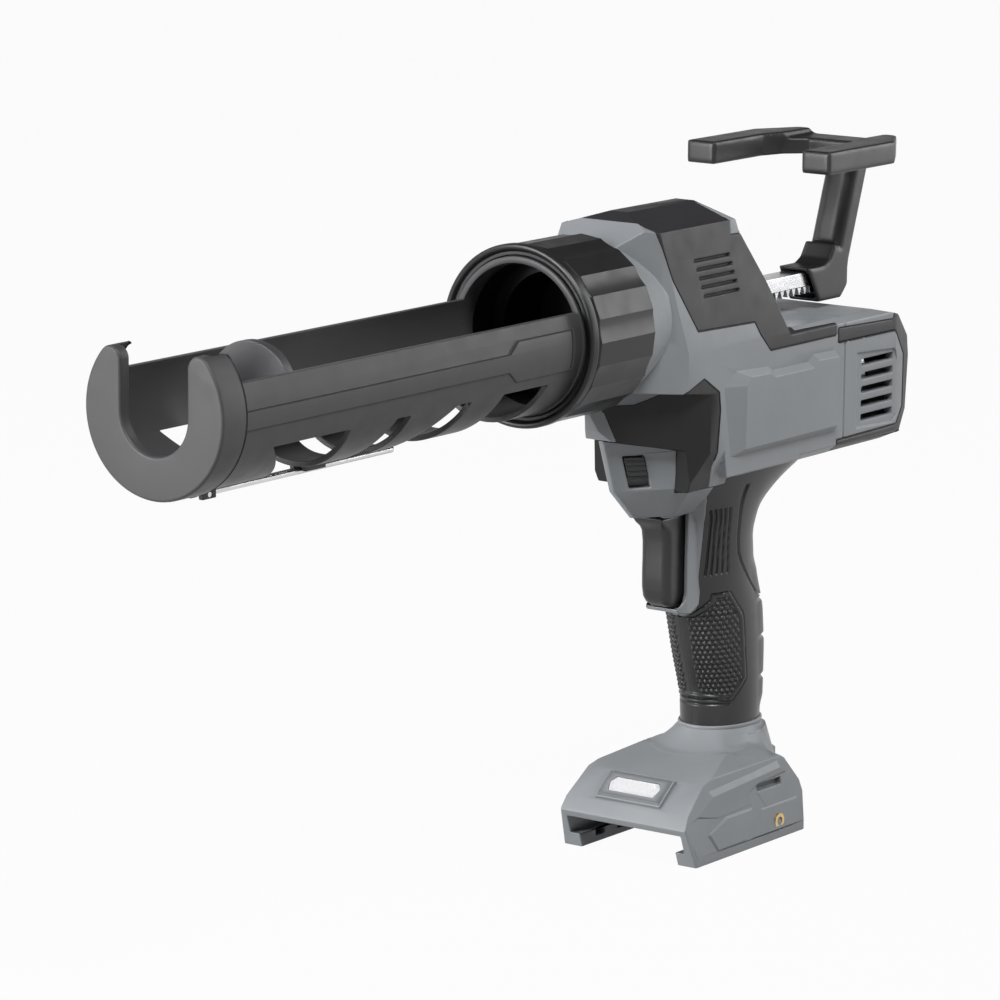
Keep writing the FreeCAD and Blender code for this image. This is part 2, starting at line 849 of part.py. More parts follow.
def make_foot():
    """Two halves of the battery foot, the lamp and the belt hook's inserts."""
    foot = foot_body()
    above = box(-deep_cut, deep_cut, -deep_cut, deep_cut, bay_top + foot_wall, deep_cut)
    foot = foot.cut(foot_block(foot_wall).common(above))
    plate_low = led_board_low - foot_wall
    foot = foot.fuse(brow_box(lens_plate_length, lens_plate_half_width, plate_low, lens_plate_proud))
    foot = foot.cut(battery_bay())
    foot = foot.cut(handle_tongue(grip_skin, neck_height))
    foot = foot.cut(brow_box(lens_length, lens_half_width, led_board_low, lens_plate_proud + overrun))
    vent_low = foot_bottom + foot_vent_rise
    for side in (-1, 1):
        foot = foot.cut(box(foot_vent_front, foot_vent_front - foot_vent_length, side * bay_half_width,
                            side * deep_cut, vent_low, vent_low + foot_vent_height))
    insert_z = foot_bottom + insert_height
    for side in (-1, 1):
        tip = side * (foot_half_width - insert_length)
        foot = foot.cut(rod_y(insert_radius, tip, side * deep_cut, insert_x, insert_z))
    rail_z = foot_bottom + rail_height / 2
    for index in range(rail_holes):
        x = foot_front - bay_length * (index + 1) / (rail_holes + 1)
        foot = foot.cut(box(x, x - rail_hole_length, -bay_half_width, bay_half_width, rail_z,
                            rail_z + rail_hole_height))
    save("foot_left", left_half(foot))
    save("foot_right", right_half(foot))
    inserts = []
    for side in (-1, 1):
        tip = side * (foot_half_width - insert_length)
        sleeve = rod_y(insert_radius, tip, side * foot_half_width, insert_x, insert_z)
        inserts.append(sleeve.cut(rod_y(insert_bore, tip, side * deep_cut, insert_x, insert_z)))
    save("belt_hook_inserts", Part.makeCompound(inserts))


def make_lamp():
    """Clear lens in the brow and the small board behind it."""
    save("led_lens", brow_box(lens_length, lens_half_width, lens_low, lens_top))
    save("led_board", brow_box(lens_length, lens_half_width, led_board_low, lens_low))


def make_terminals():
    """Contact block in the bay's ceiling with its blades."""
    rear = foot_front - bay_length
    half = terminal_half_width
    base = box(rear, rear + terminal_length, -half, half, bay_top - terminal_height, bay_top)
    blades = []
    for index in range(blade_count):
        y = (index + 1) / (blade_count + 1) * 2 * half - half
        low = bay_top - terminal_height + blade_thickness
        front = rear + terminal_length + blade_length
        blades.append(box(rear + terminal_length, front, y, y + blade_thickness, low, low + blade_height))
    save("terminal_block", base)
    save("terminal_blades", Part.makeCompound(blades))


def make_trigger():
    """Sliding trigger with a finger hollow, and the spring behind it."""
    points = spread(trigger_side_shares, trigger_front, -trigger_depth, trigger_top - trigger_height,
                    trigger_height)
    body = prism_y(points, -trigger_half_width, trigger_half_width)
    pocket_end = trigger_rear + spring_pocket
    pocket = rod_x(spring_radius + spring_wire, trigger_rear - overrun, pocket_end, 0, trigger_middle)
    save("trigger", body.cut(pocket))
    coil_length = spring_length - spring_wire
    helix = Part.makeHelix(coil_length / spring_turns, coil_length, spring_radius)
    start = FreeCAD.Vector(spring_radius, 0, 0)
    circle = Part.Wire([Part.Circle(start, FreeCAD.Vector(0, 1, 0), spring_wire / 2).toShape()])
    coil = Part.Wire(helix).makePipeShell([circle], True, True)
    coil.rotate(FreeCAD.Vector(0, 0, 0), FreeCAD.Vector(0, 1, 0), -90)
    coil.translate(FreeCAD.Vector(pocket_end - spring_wire / 2, 0, trigger_middle))
    save("trigger_spring", coil)


def make_slider():
    """Lock slider with cross ribs, in the nose's left flank."""
    half = slider_width / 2
    body = flank_block(half, 0, slider_height, -slider_depth, slider_proud)
    step = slider_height / slider_ribs
    for index in range(slider_ribs):
        top = index * step + step / 2
        groove = flank_block(half, top, top + slider_rib_height, slider_proud / 2, slider_proud)
        body = body.cut(groove)
    save("lock_slider", body)


def make_holder():
    """Open trough with windows below, flange at its rear and a raised band on each side."""
    trough = ring_x(holder_radius, holder_bore, flange_front, holder_front)
    trough = trough.cut(box(flange_front, holder_front + overrun, -deep_cut, deep_cut, holder_edge_height,
                            deep_cut))
    low = -holder_radius - overrun
    for shares in window_shares:
        points = spread(shares, 0, holder_reach, -window_top, low + window_top)
        trough = trough.cut(prism_y(points, -deep_cut, deep_cut))
    band = prism_y(band_outline(), -deep_cut, deep_cut)
    raised = ring_x(holder_radius + band_proud, holder_bore + holder_wall / 2, -flange_front,
                    holder_reach - cap_skirt)
    flange = ring_x(flange_radius, holder_bore, flange_rear, flange_front)
    holder = fuse([trough, raised.common(band), flange, wire_lugs()])
    holder = holder.cut(rod_y(wire_pin_radius, -deep_cut, deep_cut, wire_pivot_x, wire_z))
    save("cartridge_holder", holder)


def wire_lugs():
    """Ears for the wire's pivot and open cheeks that clip it at rest."""
    half = knuckle_width / 2
    root = -holder_bore - holder_wall / 2
    ear_room = wire_diameter / 2 + slide_gap
    ear = box(wire_pivot_x - knuckle_length / 2, wire_pivot_x + knuckle_length / 2, -half, half,
              wire_z - wire_eye_radius, root)
    cheek = box(clip_x - clip_length / 2, clip_x + clip_length / 2, -half, half, wire_z, root)
    lugs = fuse([ear, cheek])
    slot = box(-deep_cut, deep_cut, -ear_room, ear_room, -deep_cut, wire_z + wire_eye_radius + slide_gap)
    return lugs.cut(slot)


def band_outline():
    """Side outline of the raised band and its wider panel by the collar."""
    low = -band_height * (1 - band_low_share)
    high = low + band_height
    panel_low = low - (panel_height - band_height) / 2
    panel_high = panel_low + panel_height
    start = -flange_front
    panel_end = start + panel_length
    taper_end = panel_end + panel_taper
    return [(start, panel_low), (panel_end, panel_low), (taper_end, low), (holder_reach, low),
            (holder_reach, high), (taper_end, high), (panel_end, panel_high), (start, panel_high)]


def prong_mask():
    """Room under the two round prong tips, which touch the slot's sides and the cap's rim."""
    reach = cap_slot_half_width - cap_prong_height + cap_radius
    excess = cap_slot_half_width ** 2 + cap_prong_height ** 2 - cap_radius ** 2
    tip = math.sqrt(reach ** 2 - excess) - reach
    y = cap_slot_half_width + tip
    z = cap_prong_height - tip
    below = -cap_radius * 2
    wide = cap_radius * 2
    mask = []
    for side in (-1, 1):
        points = [(0, below), (0, z), (side * y, z), (side * y * 2, z * 2), (side * wide, z * 2),
                  (side * wide, below)]
        mask.append(prism_x(points, 0, holder_reach + overrun))
        mask.append(rod_x(tip, 0, holder_reach + overrun, side * y, z))
    return fuse(mask)


def make_cap():
    """Front cap: a plate with the nozzle's open slot and a skirt over the trough."""
    plate = rod_x(cap_radius, holder_front, holder_reach)
    slot_centre = cap_slot_half_width - cap_slot_floor
    slot = rod_x(cap_slot_half_width, holder_front - overrun, holder_reach + overrun, 0, slot_centre)
    mouth = box(holder_front - overrun, holder_reach + overrun, -cap_slot_half_width, cap_slot_half_width,
                slot_centre, deep_cut)
    skirt = ring_x(cap_radius, holder_radius + shaft_gap, holder_reach - cap_skirt, holder_front)
    cap = fuse([plate.cut(slot.fuse(mouth)), skirt])
    cap = cap.common(prong_mask())
    save("front_cap", cap)


def make_wire():
    """Puncture wire with its eye, and the pin that it swings on."""
    far = wire_pivot_x - wire_length
    wire = rod_x(wire_diameter / 2, far, wire_pivot_x, 0, wire_z)
    eye = rod_y(wire_eye_radius, -wire_eye_width / 2, wire_eye_width / 2, wire_pivot_x, wire_z)
    wire = wire.fuse(eye)
    wire = wire.cut(rod_y(wire_pin_radius + shaft_gap, -deep_cut, deep_cut, wire_pivot_x, wire_z))
    save("puncture_wire", wire.removeSplitter())
    save("wire_pin", rod_y(wire_pin_radius, -knuckle_width / 2, knuckle_width / 2, wire_pivot_x, wire_z))


def make_collar():
    """Lobed collar whose front lip holds the trough's flange against the spigot."""
    step = 2 * math.pi / collar_lobes
    points = []
    for index in range(collar_lobes):
        for angle in (index * step, (index + collar_lobe_share) * step):
            points.append((collar_body_radius * math.sin(angle), collar_body_radius * math.cos(angle)))
    grip_front = -collar_rim_length - collar_neck_length
    rim = rod_x(collar_rim_radius, -collar_rim_length, 0)
    neck = rod_x(collar_neck_radius, grip_front, -collar_rim_length)
    body = prism_x(points, -collar_length, grip_front)
    collar = fuse([rim, neck, body])
    collar = collar.cut(rod_x(collar_bore, -collar_length - overrun, -collar_rim_length))
    collar = collar.cut(rod_x(holder_radius + band_proud + slide_gap, -collar_length, overrun))
    save("lock_collar", collar)


def make_spigot():
    """Fixed tube that the collar turns on, with the shoulder that the cartridge's rear edge meets."""
    bore = cartridge_diameter / 2 + spigot_bore_room
    rear = case_front - spigot_tail
    seat = ring_x(flange_radius, bore, seat_rear, spigot_front)
    shoulder = ring_x(flange_radius, spigot_shoulder_radius, rear, seat_rear)
    tail = ring_x(flange_radius, flange_radius - slide_gap, rear - overrun, case_front)
    save("collar_spigot", fuse([seat, shoulder]).cut(tail))


def make_rack():
    """Toothed push rod, its piston and its screw."""
    half = rack_width / 2
    count_back = int((pinion_x - rack_rear - rack_plain_rear) / rack_pitch)
    count_front = int((rack_front - rack_plain_front - pinion_x) / rack_pitch)
    depth = rack_module * 2 + slide_gap
    gap = rack_pitch * (1 - tooth_width_share)
    flank = math.tan(math.radians(tooth_flank_angle))
    points = [(rack_rear, rack_top), (rack_rear, rack_bottom)]
    for index in range(-count_back, count_front + 1):
        centre = pinion_x + index * rack_pitch
        wide = gap / 2 + rack_module * flank
        narrow = wide - depth * flank
        points += [(centre - wide, rack_bottom), (centre - narrow, rack_bottom + depth),
                   (centre + narrow, rack_bottom + depth), (centre + wide, rack_bottom)]
    points += [(rack_front, rack_bottom), (rack_front, rack_top)]
    bar = prism_y(points, -half, half)
    axis_z = (rack_top + rack_bottom) / 2
    screw_end = rack_front - piston_screw_length
    bar = bar.cut(rod_x(piston_screw_radius, screw_end, rack_front + overrun, 0, axis_z))
    bar = bar.cut(rod_y(handle_pin_radius, -deep_cut, deep_cut, handle_pin_x, axis_z))
    save("rack_rod", bar)
    disc = rod_x(piston_radius, rack_front, piston_x)
    hub_rear = rack_front - piston_hub_length
    hub = rod_x(piston_hub_radius, hub_rear, rack_front, 0, axis_z)
    hub = hub.cut(box(hub_rear, rack_front, -half, half, rack_bottom, rack_top))
    disc = fuse([disc, hub])
    disc = disc.cut(rod_x(piston_screw_radius, rack_front - overrun, piston_x + overrun, 0, axis_z))
    save("piston", disc)
    head = rod_x(piston_screw_head_radius, piston_x, piston_x + piston_screw_head, 0, axis_z)
    shank = rod_x(piston_screw_radius, screw_end, piston_x, 0, axis_z)
    save("piston_screw", head.fuse(shank).removeSplitter())


def post_section(centre_x, z):
    """Rounded rectangle of the pull handle's post."""
    half = post_depth / 2
    side = post_width / 2
    core = polygon([FreeCAD.Vector(centre_x + x, y, z) for x, y in (
        (-half + post_round, -side + post_round), (half - post_round, -side + post_round),
        (half - post_round, side - post_round), (-half + post_round, side - post_round))])
    return core.makeOffset2D(post_round, 0).OuterWire


def make_pull_handle():
    """Boot on the rack's rear end, leaning post and forward yoke, with the cross pin."""
    post_front = post_foot_x + post_depth / 2
    boot_points = [(boot_front, boot_top), (boot_front - boot_rake, boot_bottom),
                   (boot_rear + post_round, boot_bottom), (boot_rear, boot_bottom + post_round),
                   (boot_rear, boot_top), (post_front - boot_blend, boot_top + boot_blend * 2),
                   (post_front, boot_top + boot_blend / 2), (post_front + boot_blend, boot_top)]
    boot = prism_y(boot_points, -boot_half_width, boot_half_width)
    base_z = boot_bottom + post_round
    rise = yoke_bottom + overrun - base_z
    low = post_section(post_foot_x, base_z)
    high = post_section(post_foot_x - post_lean, base_z + rise)
    post = Part.makeLoft([low, high], True, True)
    inner = yoke_half_width - yoke_arm_width
    crotch = yoke_tip_x - yoke_length * yoke_crotch_share
    corner = yoke_tip_x - yoke_length * yoke_corner_share
    half_plan = [(yoke_tip_x, inner), (yoke_tip_x, yoke_half_width), (corner, yoke_half_width),
                 (yoke_rear_x + yoke_back_slope, inner + yoke_arm_round), (yoke_rear_x, inner / 2)]
    crotch_half = [(crotch, -inner / 2), (crotch + yoke_arm_width / 2, -inner + yoke_arm_round),
                   (corner + yoke_arm_width, -inner)]
    outer = half_plan + [(x, -y) for x, y in reversed(half_plan)]
    outline = outer + [(x, y) for x, y in reversed(crotch_half)] + [(x, -y) for x, y in crotch_half]
    yoke = prism_z(outline, yoke_bottom, yoke_top)
    yoke = yoke.cut(box(crotch + inner, yoke_rear_x, -inner + yoke_arm_round, inner - yoke_arm_round,
                        yoke_top - yoke_web_drop, yoke_top))
    back = [(yoke_rear_x, yoke_bottom), (yoke_rear_x, yoke_top), (yoke_rear_x + yoke_back_slope, yoke_top)]
    yoke = yoke.cut(prism_y(back, -deep_cut, deep_cut))
    handle = fuse([boot, post, yoke])
    half = rack_width / 2
    mouth_half = boot_half_width - boot_wall
    handle = handle.cut(box(boot_front + overrun, boot_front - boot_socket_depth, -half, half, rack_bottom,
                            rack_top))
    handle = handle.cut(box(boot_front + overrun, boot_front - boot_mouth_depth, -mouth_half, mouth_half,
                            boot_bottom + boot_wall, boot_top - boot_wall))
    axis_z = (rack_top + rack_bottom) / 2
    handle = handle.cut(rod_y(handle_pin_radius, -deep_cut, deep_cut, handle_pin_x, axis_z))
    save("pull_handle", handle)
    save("handle_pin", rod_y(handle_pin_radius, -boot_half_width, boot_half_width, handle_pin_x, axis_z))


def pinion_gear():
    """Straight toothed pinion, with a tooth pointing straight up."""
    tip = pinion_pitch_radius + rack_module - slide_gap / 2
    root = pinion_pitch_radius - rack_module - slide_gap
    step = 2 * math.pi / pinion_teeth
    points = []
    flank = math.tan(math.radians(tooth_flank_angle))
    pitch_half = tooth_width_share * rack_pitch / 2
    for index in range(pinion_teeth):
        middle = math.pi / 2 + index * step
        for radius, sign in ((root, -1), (tip, -1), (tip, 1), (root, 1)):
            half = pitch_half - (radius - pinion_pitch_radius) * flank
            angle = middle + sign * half / radius
            points.append((radius * math.cos(angle), radius * math.sin(angle)))
    placed = [(pinion_x + x, pinion_z + z) for x, z in points]
    return prism_y(placed, -pinion_width / 2, pinion_width / 2)


def make_pinion():
    """Pinion on its cross shaft, the two bearings and the bracket that holds them."""
    cheek_in = pinion_width / 2 + cheek_gap
    cheek_out = cheek_in + cheek_thickness
    shaft = rod_y(pinion_shaft_radius, -cheek_out, cheek_out, pinion_x, pinion_z)
    save("drive_pinion", fuse([pinion_gear(), shaft]))
    bearings = []
    for side in (-1, 1):
        race = rod_y(pinion_bearing_radius, side * cheek_in, side * cheek_out, pinion_x, pinion_z)
        hole = rod_y(pinion_shaft_radius + shaft_gap, -deep_cut, deep_cut, pinion_x, pinion_z)
        bearings.append(race.cut(hole))
    save("pinion_bearings", Part.makeCompound(bearings))
    low = pinion_z - pinion_bearing_radius - bracket_wall
    high = rack_bottom - slide_gap
    frame = box(bracket_front, gearbox_front, -cheek_out, cheek_out, low, high)
    frame = frame.cut(box(bracket_front + overrun, gearbox_front + bracket_wall, -cheek_in, cheek_in,
                          -deep_cut, deep_cut))
    wall = box(gearbox_front + bracket_wall, gearbox_front, -cheek_out, cheek_out,
               drive_z - motor_bearing_radius, high)
    frame = fuse([frame, wall])
    frame = frame.cut(rod_y(pinion_bearing_radius, -deep_cut, deep_cut, pinion_x, pinion_z))
    save("gear_bracket", frame)


def make_drive():
    """Gearbox drum, motor can with its bearings, and the rotor with its fan."""
    shaft_hole = motor_shaft_radius + cheek_gap
    drum = rod_x(gearbox_radius, motor_front, gearbox_front, 0, drive_z)
    hole_end = motor_front + shaft_nose + slide_gap
    save("gearbox", drum.cut(rod_x(shaft_hole, motor_front, hole_end, 0, drive_z)))
    can = rod_x(motor_radius, motor_rear, motor_front, 0, drive_z)
    room = motor_radius - motor_can_wall
    room_rear = motor_rear + motor_bearing_length
    can = can.cut(rod_x(room, room_rear, motor_front - motor_bearing_length, 0, drive_z))
    can = can.cut(rod_x(motor_bearing_radius, motor_rear - overrun, motor_front + overrun, 0, drive_z))
    save("motor_can", can)
    bearings = []
    bore = motor_shaft_radius + shaft_gap
    for x in (motor_front, motor_rear + motor_bearing_length):
        bearings.append(ring_x(motor_bearing_radius, bore, x, x - motor_bearing_length, drive_z))
    save("motor_bearings", Part.makeCompound(bearings))
    shaft = rod_x(motor_shaft_radius, motor_rear - shaft_tail, motor_front + shaft_nose, 0, drive_z)
    core_gap = motor_bearing_length + overrun
    core = rod_x(room - motor_air_gap, motor_rear + core_gap, motor_front - core_gap, 0, drive_z)
    save("motor_rotor", fuse([shaft, core]))
    fan_front = motor_rear - cheek_gap * 2
    fan_rear = fan_front - fan_length
    hub = rod_x(fan_hub_radius, fan_rear, fan_front, 0, drive_z)
    plate = rod_x(fan_radius, fan_front - fan_blade_thickness, fan_front, 0, drive_z)
    pieces = [hub, plate]
    for index in range(fan_blades):
        half = fan_blade_thickness / 2
        blade = box(fan_rear, fan_front, -half, half, 0, fan_radius)
        blade.translate(FreeCAD.Vector(0, 0, drive_z))
        blade.rotate(FreeCAD.Vector(0, 0, drive_z), FreeCAD.Vector(1, 0, 0), 360 / fan_blades * index)
        pieces.append(blade)
    fan = fuse(pieces).common(rod_x(fan_radius, fan_rear, fan_front, 0, drive_z))
    bore = rod_x(motor_shaft_radius, fan_rear - overrun, fan_front + overrun, 0, drive_z)
    save("cooling_fan", fan.cut(bore))


def make_guides():
    """Front and rear guides that the rack runs through."""
    half = rack_width / 2 + slide_gap
    hole = box(-deep_cut, deep_cut, -half, half, rack_bottom - slide_gap, rack_top + slide_gap)
    front = case_front - spigot_tail
    save("front_guide", rod_x(guide_radius, front - guide_length, front).cut(hole))
    rear = gearbox_front - slide_gap
    rear_guide = box(rear, rear - guide_length, -deep_cut, deep_cut, rack_bottom - bracket_wall,
                     rack_top + bracket_wall)
    save("rear_guide", rear_guide.common(case_body(case_inner)).cut(hole))


def make_electrics():
    """Switch behind the trigger and the control board below it."""
    rear = switch_front - switch_length
    low = trigger_middle - switch_height / 2
    switch = box(switch_front, rear, -switch_half_width, switch_half_width, low, low + switch_height)
    save("trigger_switch", switch)
    board = box(rear, rear - control_length, -control_half_width, control_half_width, low,
                low - control_height)
    save("control_board", board)


def make_screws():
    """Case screws, put in from the right."""
    screws = []
    for x, z in screw_places():
        head = rod_y(screw_head_radius, -screw_grip - screw_head, -screw_grip, x, z)
        shank = rod_y(screw_radius, -screw_grip, screw_grip, x, z)
        screws.append(head.fuse(shank).removeSplitter())
    save("housing_screws", Part.makeCompound(screws))


os.makedirs("parts", exist_ok=True)
make_housing()
make_cover()
make_skins()
make_grip()
make_foot()
make_lamp()
make_terminals()
make_trigger()
make_slider()
make_holder()
make_cap()
make_wire()
make_collar()
make_spigot()
make_rack()
make_pull_handle()
make_pinion()
make_drive()
make_guides()
make_electrics()
make_screws()
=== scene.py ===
# %% [markdown]
# # A cordless caulking tool, dressed in Blender
# The tool was measured and built as solids first: a trough for the sealant cartridge, a lock collar, a
# gear housing, a toothed push rod with its pull handle, a pistol grip and a battery foot. This lesson
# loads those parts as a fixed frame and gives them softened edges, small moulded details and finishes.

# %% Load the measured parts
import json
import math

import bmesh
import bpy
from mathutils import Matrix, Vector
from mathutils.bvhtree import BVHTree


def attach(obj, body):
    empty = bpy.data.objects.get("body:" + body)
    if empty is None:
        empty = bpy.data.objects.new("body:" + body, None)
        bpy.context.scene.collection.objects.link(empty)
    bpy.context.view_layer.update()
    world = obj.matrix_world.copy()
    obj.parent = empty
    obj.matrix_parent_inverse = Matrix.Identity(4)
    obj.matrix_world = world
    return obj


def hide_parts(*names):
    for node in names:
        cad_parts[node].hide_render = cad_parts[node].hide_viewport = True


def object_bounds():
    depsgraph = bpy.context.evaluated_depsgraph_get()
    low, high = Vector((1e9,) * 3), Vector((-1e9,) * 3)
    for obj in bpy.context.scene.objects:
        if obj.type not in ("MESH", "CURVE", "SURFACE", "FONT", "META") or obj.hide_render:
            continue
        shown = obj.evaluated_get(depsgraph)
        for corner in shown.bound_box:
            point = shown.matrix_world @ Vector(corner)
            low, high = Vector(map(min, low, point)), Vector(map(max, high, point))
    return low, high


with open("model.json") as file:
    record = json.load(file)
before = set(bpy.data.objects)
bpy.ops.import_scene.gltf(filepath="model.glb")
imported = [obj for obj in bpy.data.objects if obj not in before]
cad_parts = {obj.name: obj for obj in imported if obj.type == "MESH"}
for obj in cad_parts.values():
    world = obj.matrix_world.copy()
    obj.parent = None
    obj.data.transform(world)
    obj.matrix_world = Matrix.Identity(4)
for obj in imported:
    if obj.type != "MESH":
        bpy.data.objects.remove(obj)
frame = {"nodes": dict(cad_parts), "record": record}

cad_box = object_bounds()
MM = 0.001
body_of = {}
for body, nodes in frame["record"]["behaviour"]["bodies"].items():
    for node in nodes:
        body_of[node] = body

# %% [markdown]
# ## The camera
# A product photograph of a long tool is taken from far away with a long lens, so that the near end
# doesn't swell. The camera could be placed by eye, but here its place was worked out from points on the
# tool: it stands almost two metres away, a little above the tool, and looks at it from ahead and to its
# left.

# %% Stand the camera
camera_place = Vector((1.4405, 1.0441, 0.2881))
camera_turn = math.radians(126.1144)
camera_rise = math.radians(11.0323)
camera_roll = math.radians(0.4225)
back = Vector((math.sin(camera_turn) * math.cos(camera_rise),
               -math.cos(camera_turn) * math.cos(camera_rise), math.sin(camera_rise)))
right = Vector((math.cos(camera_turn), math.sin(camera_turn), 0))
up = back.cross(right)
level = Matrix((right, up, back)).transposed()
lens = bpy.data.cameras.new("long_lens")
lens.sensor_width = 36
lens.lens = 183.776
lens.clip_end = 20
camera = bpy.data.objects.new("camera", lens)
tilted = level @ Matrix.Rotation(camera_roll, 3, "Z")
camera.matrix_world = Matrix.Translation(camera_place) @ tilted.to_4x4()
bpy.context.collection.objects.link(camera)
bpy.context.scene.camera = camera
print("camera stands", round(camera_place.length, 3), "m from the collar")

# %% [markdown]
# ## Moulded plastic
# Most of the tool is injection moulded. The mould's fine spark-eroded grain breaks up its gloss and the
# colour drifts a little where the melt flowed. One function mixes these: broad noise for the colour, finer
# noise for roughness and a very fine noise as bump. It also paints light and shade by the Pointiness of
# the mesh: a painted highlight on sharp outer corners and painted shade in hollows.


# %% Helper that mixes a moulded plastic
flow_scale = 26.0
smear_scale = 140.0
colour_drift = 0.06
# How much lighter the painted highlight on sharp outer corners is.
corner_highlight_gain = 1.18


def link(tree, source, target):
    tree.links.new(source, target)


def scaled(colour, factor):
    return (colour[0] * factor, colour[1] * factor, colour[2] * factor, 1)


def new_finish(name):
    finish = bpy.data.materials.new(name)
    finish.use_nodes = True
    tree = finish.node_tree
    shader = tree.nodes["Principled BSDF"]
    place = tree.nodes.new("ShaderNodeTexCoord")
    return finish, tree, shader, place


def noise_field(tree, place, scale, detail=3.0, stretch=None):
    field = tree.nodes.new("ShaderNodeTexNoise")
    field.inputs["Scale"].default_value = scale
    field.inputs["Detail"].default_value = detail
    if stretch:
        mapping = tree.nodes.new("ShaderNodeMapping")
        mapping.inputs["Scale"].default_value = stretch
        link(tree, place.outputs["Object"], mapping.inputs["Vector"])
        link(tree, mapping.outputs["Vector"], field.inputs["Vector"])
    else:
        link(tree, place.outputs["Object"], field.inputs["Vector"])
    return field


def ranged(tree, source, low, high, from_low=0.3, from_high=0.7):
    node = tree.nodes.new("ShaderNodeMapRange")
    node.inputs["From Min"].default_value = from_low
    node.inputs["From Max"].default_value = from_high
    node.inputs["To Min"].default_value = low
    node.inputs["To Max"].default_value = high
    link(tree, source, node.inputs["Value"])
    return node


def drifting_colour(tree, source, colour, drift):
    ramp = tree.nodes.new("ShaderNodeValToRGB")
    ramp.color_ramp.elements[0].position = 0.3
    ramp.color_ramp.elements[1].position = 0.7
    ramp.color_ramp.elements[0].color = scaled(colour, 1 - drift)
    ramp.color_ramp.elements[1].color = scaled(colour, 1 + drift)
    link(tree, source, ramp.inputs["Fac"])
    return ramp


# Lightens convex corners by Pointiness: a painted highlight along the corners, not wear.
def painted_corner_highlight(tree, base, lighter, start=0.53, end=0.62):
    surface = tree.nodes.new("ShaderNodeNewGeometry")
    reach = ranged(tree, surface.outputs["Pointiness"], 0.0, 1.0, start, end)
    mix = tree.nodes.new("ShaderNodeMix")
    mix.data_type = "RGBA"
    mix.inputs["B"].default_value = lighter
    link(tree, reach.outputs["Result"], mix.inputs["Factor"])
    link(tree, base, mix.inputs["A"])
    return mix


# Darkens concave places by Pointiness: painted shade in hollows and creases.
def painted_hollow_shade(tree, base, start=0.40, end=0.49):
    surface = tree.nodes.new("ShaderNodeNewGeometry")
    reach = ranged(tree, surface.outputs["Pointiness"], 0.25, 1.0, start, end)
    mix = tree.nodes.new("ShaderNodeMix")
    mix.data_type = "RGBA"
    mix.blend_type = "MULTIPLY"
    mix.inputs["Factor"].default_value = 1.0
    link(tree, base, mix.inputs["A"])
    link(tree, reach.outputs["Result"], mix.inputs["B"])
    return mix


def rough_and_grain(tree, shader, place, rough, grain_size, grain_height):
    smear = noise_field(tree, place, smear_scale, 4.0)
    spread = ranged(tree, smear.outputs["Fac"], rough - 0.04, rough + 0.05)
    link(tree, spread.outputs["Result"], shader.inputs["Roughness"])
    grain = noise_field(tree, place, 1.0 / grain_size, 2.0)
    bump = tree.nodes.new("ShaderNodeBump")
    bump.inputs["Strength"].default_value = 0.35
    bump.inputs["Distance"].default_value = grain_height
    link(tree, grain.outputs["Fac"], bump.inputs["Height"])
    link(tree, bump.outputs["Normal"], shader.inputs["Normal"])


def moulded(name, colour, rough, shine=0.5, grain_size=0.45 * MM, grain_height=0.02 * MM):
    finish, tree, shader, place = new_finish(name)
    flow = noise_field(tree, place, flow_scale, 5.0)
    ramp = drifting_colour(tree, flow.outputs["Fac"], colour, colour_drift)
    # Painted highlight: the colour is lightened on sharp outer corners.
    corner_lit = painted_corner_highlight(tree, ramp.outputs["Color"], scaled(colour, corner_highlight_gain))
    # Painted shade: the colour is darkened in hollows and creases.
    hollow = painted_hollow_shade(tree, corner_lit.outputs["Result"])
    link(tree, hollow.outputs["Result"], shader.inputs["Base Color"])
    rough_and_grain(tree, shader, place, rough, grain_size, grain_height)
    shader.inputs["Specular IOR Level"].default_value = shine
    return finish


# %% [markdown]
# ## The finishes of the plastic parts
# Side by side, five plastics can be told apart: a cool mid grey on the housing and foot, a satin black on
# the cover, a charcoal on the trough and its cap, a smoother black on the collar and handle, and a dull
# rubber on the grip. The side panels are the cover's plastic but get a darker copy of its black as painted
# shade, and the piston and the gaps have plain ones. They share one recipe and differ in colour, roughness
# and grain.

# %% Mix the plastics
grey_shell = moulded("grey_shell", (0.205, 0.217, 0.228), 0.42, 0.35)
satin_black = moulded("satin_black", (0.021, 0.021, 0.023), 0.44, 0.28)
# A darker copy of the satin black for the side panels: painted shade on their downward faces.
panel_black_shaded = moulded("panel_black_shaded", (0.013, 0.013, 0.014), 0.46, 0.22)
charcoal_trough = moulded("charcoal_trough", (0.046, 0.046, 0.048), 0.46, 0.3)
collar_black = moulded("collar_black", (0.013, 0.013, 0.014), 0.34, 0.3, grain_height=0.005 * MM)
handle_black = moulded("handle_black", (0.015, 0.015, 0.016), 0.38, 0.4, grain_height=0.005 * MM)
dull_inner = moulded("dull_inner", (0.012, 0.012, 0.013), 0.6, 0.3)
grip_rubber = moulded("grip_rubber", (0.022, 0.022, 0.023), 0.33, 0.4,
                      grain_size=0.5 * MM, grain_height=0.012 * MM)
piston_black = moulded("piston_black", (0.042, 0.042, 0.045), 0.42, 0.45)
plastics = [grey_shell, satin_black, panel_black_shaded, charcoal_trough, collar_black, handle_black, dull_inner,
            grip_rubber, piston_black]
print("plastics mixed:", len(plastics))

# %% [markdown]
# ## Metals
# The push rod is bright drawn steel, so its polish lines run along its length. The puncture wire and
# screws are plain steel, the belt hook inserts brass, and the castings around the collar a dark blasted
# alloy. Stretching the same noise along one axis gives drawn lines; even noise gives a blasted skin. The
# small circuit boards inside are a green resin, mixed like a plastic.


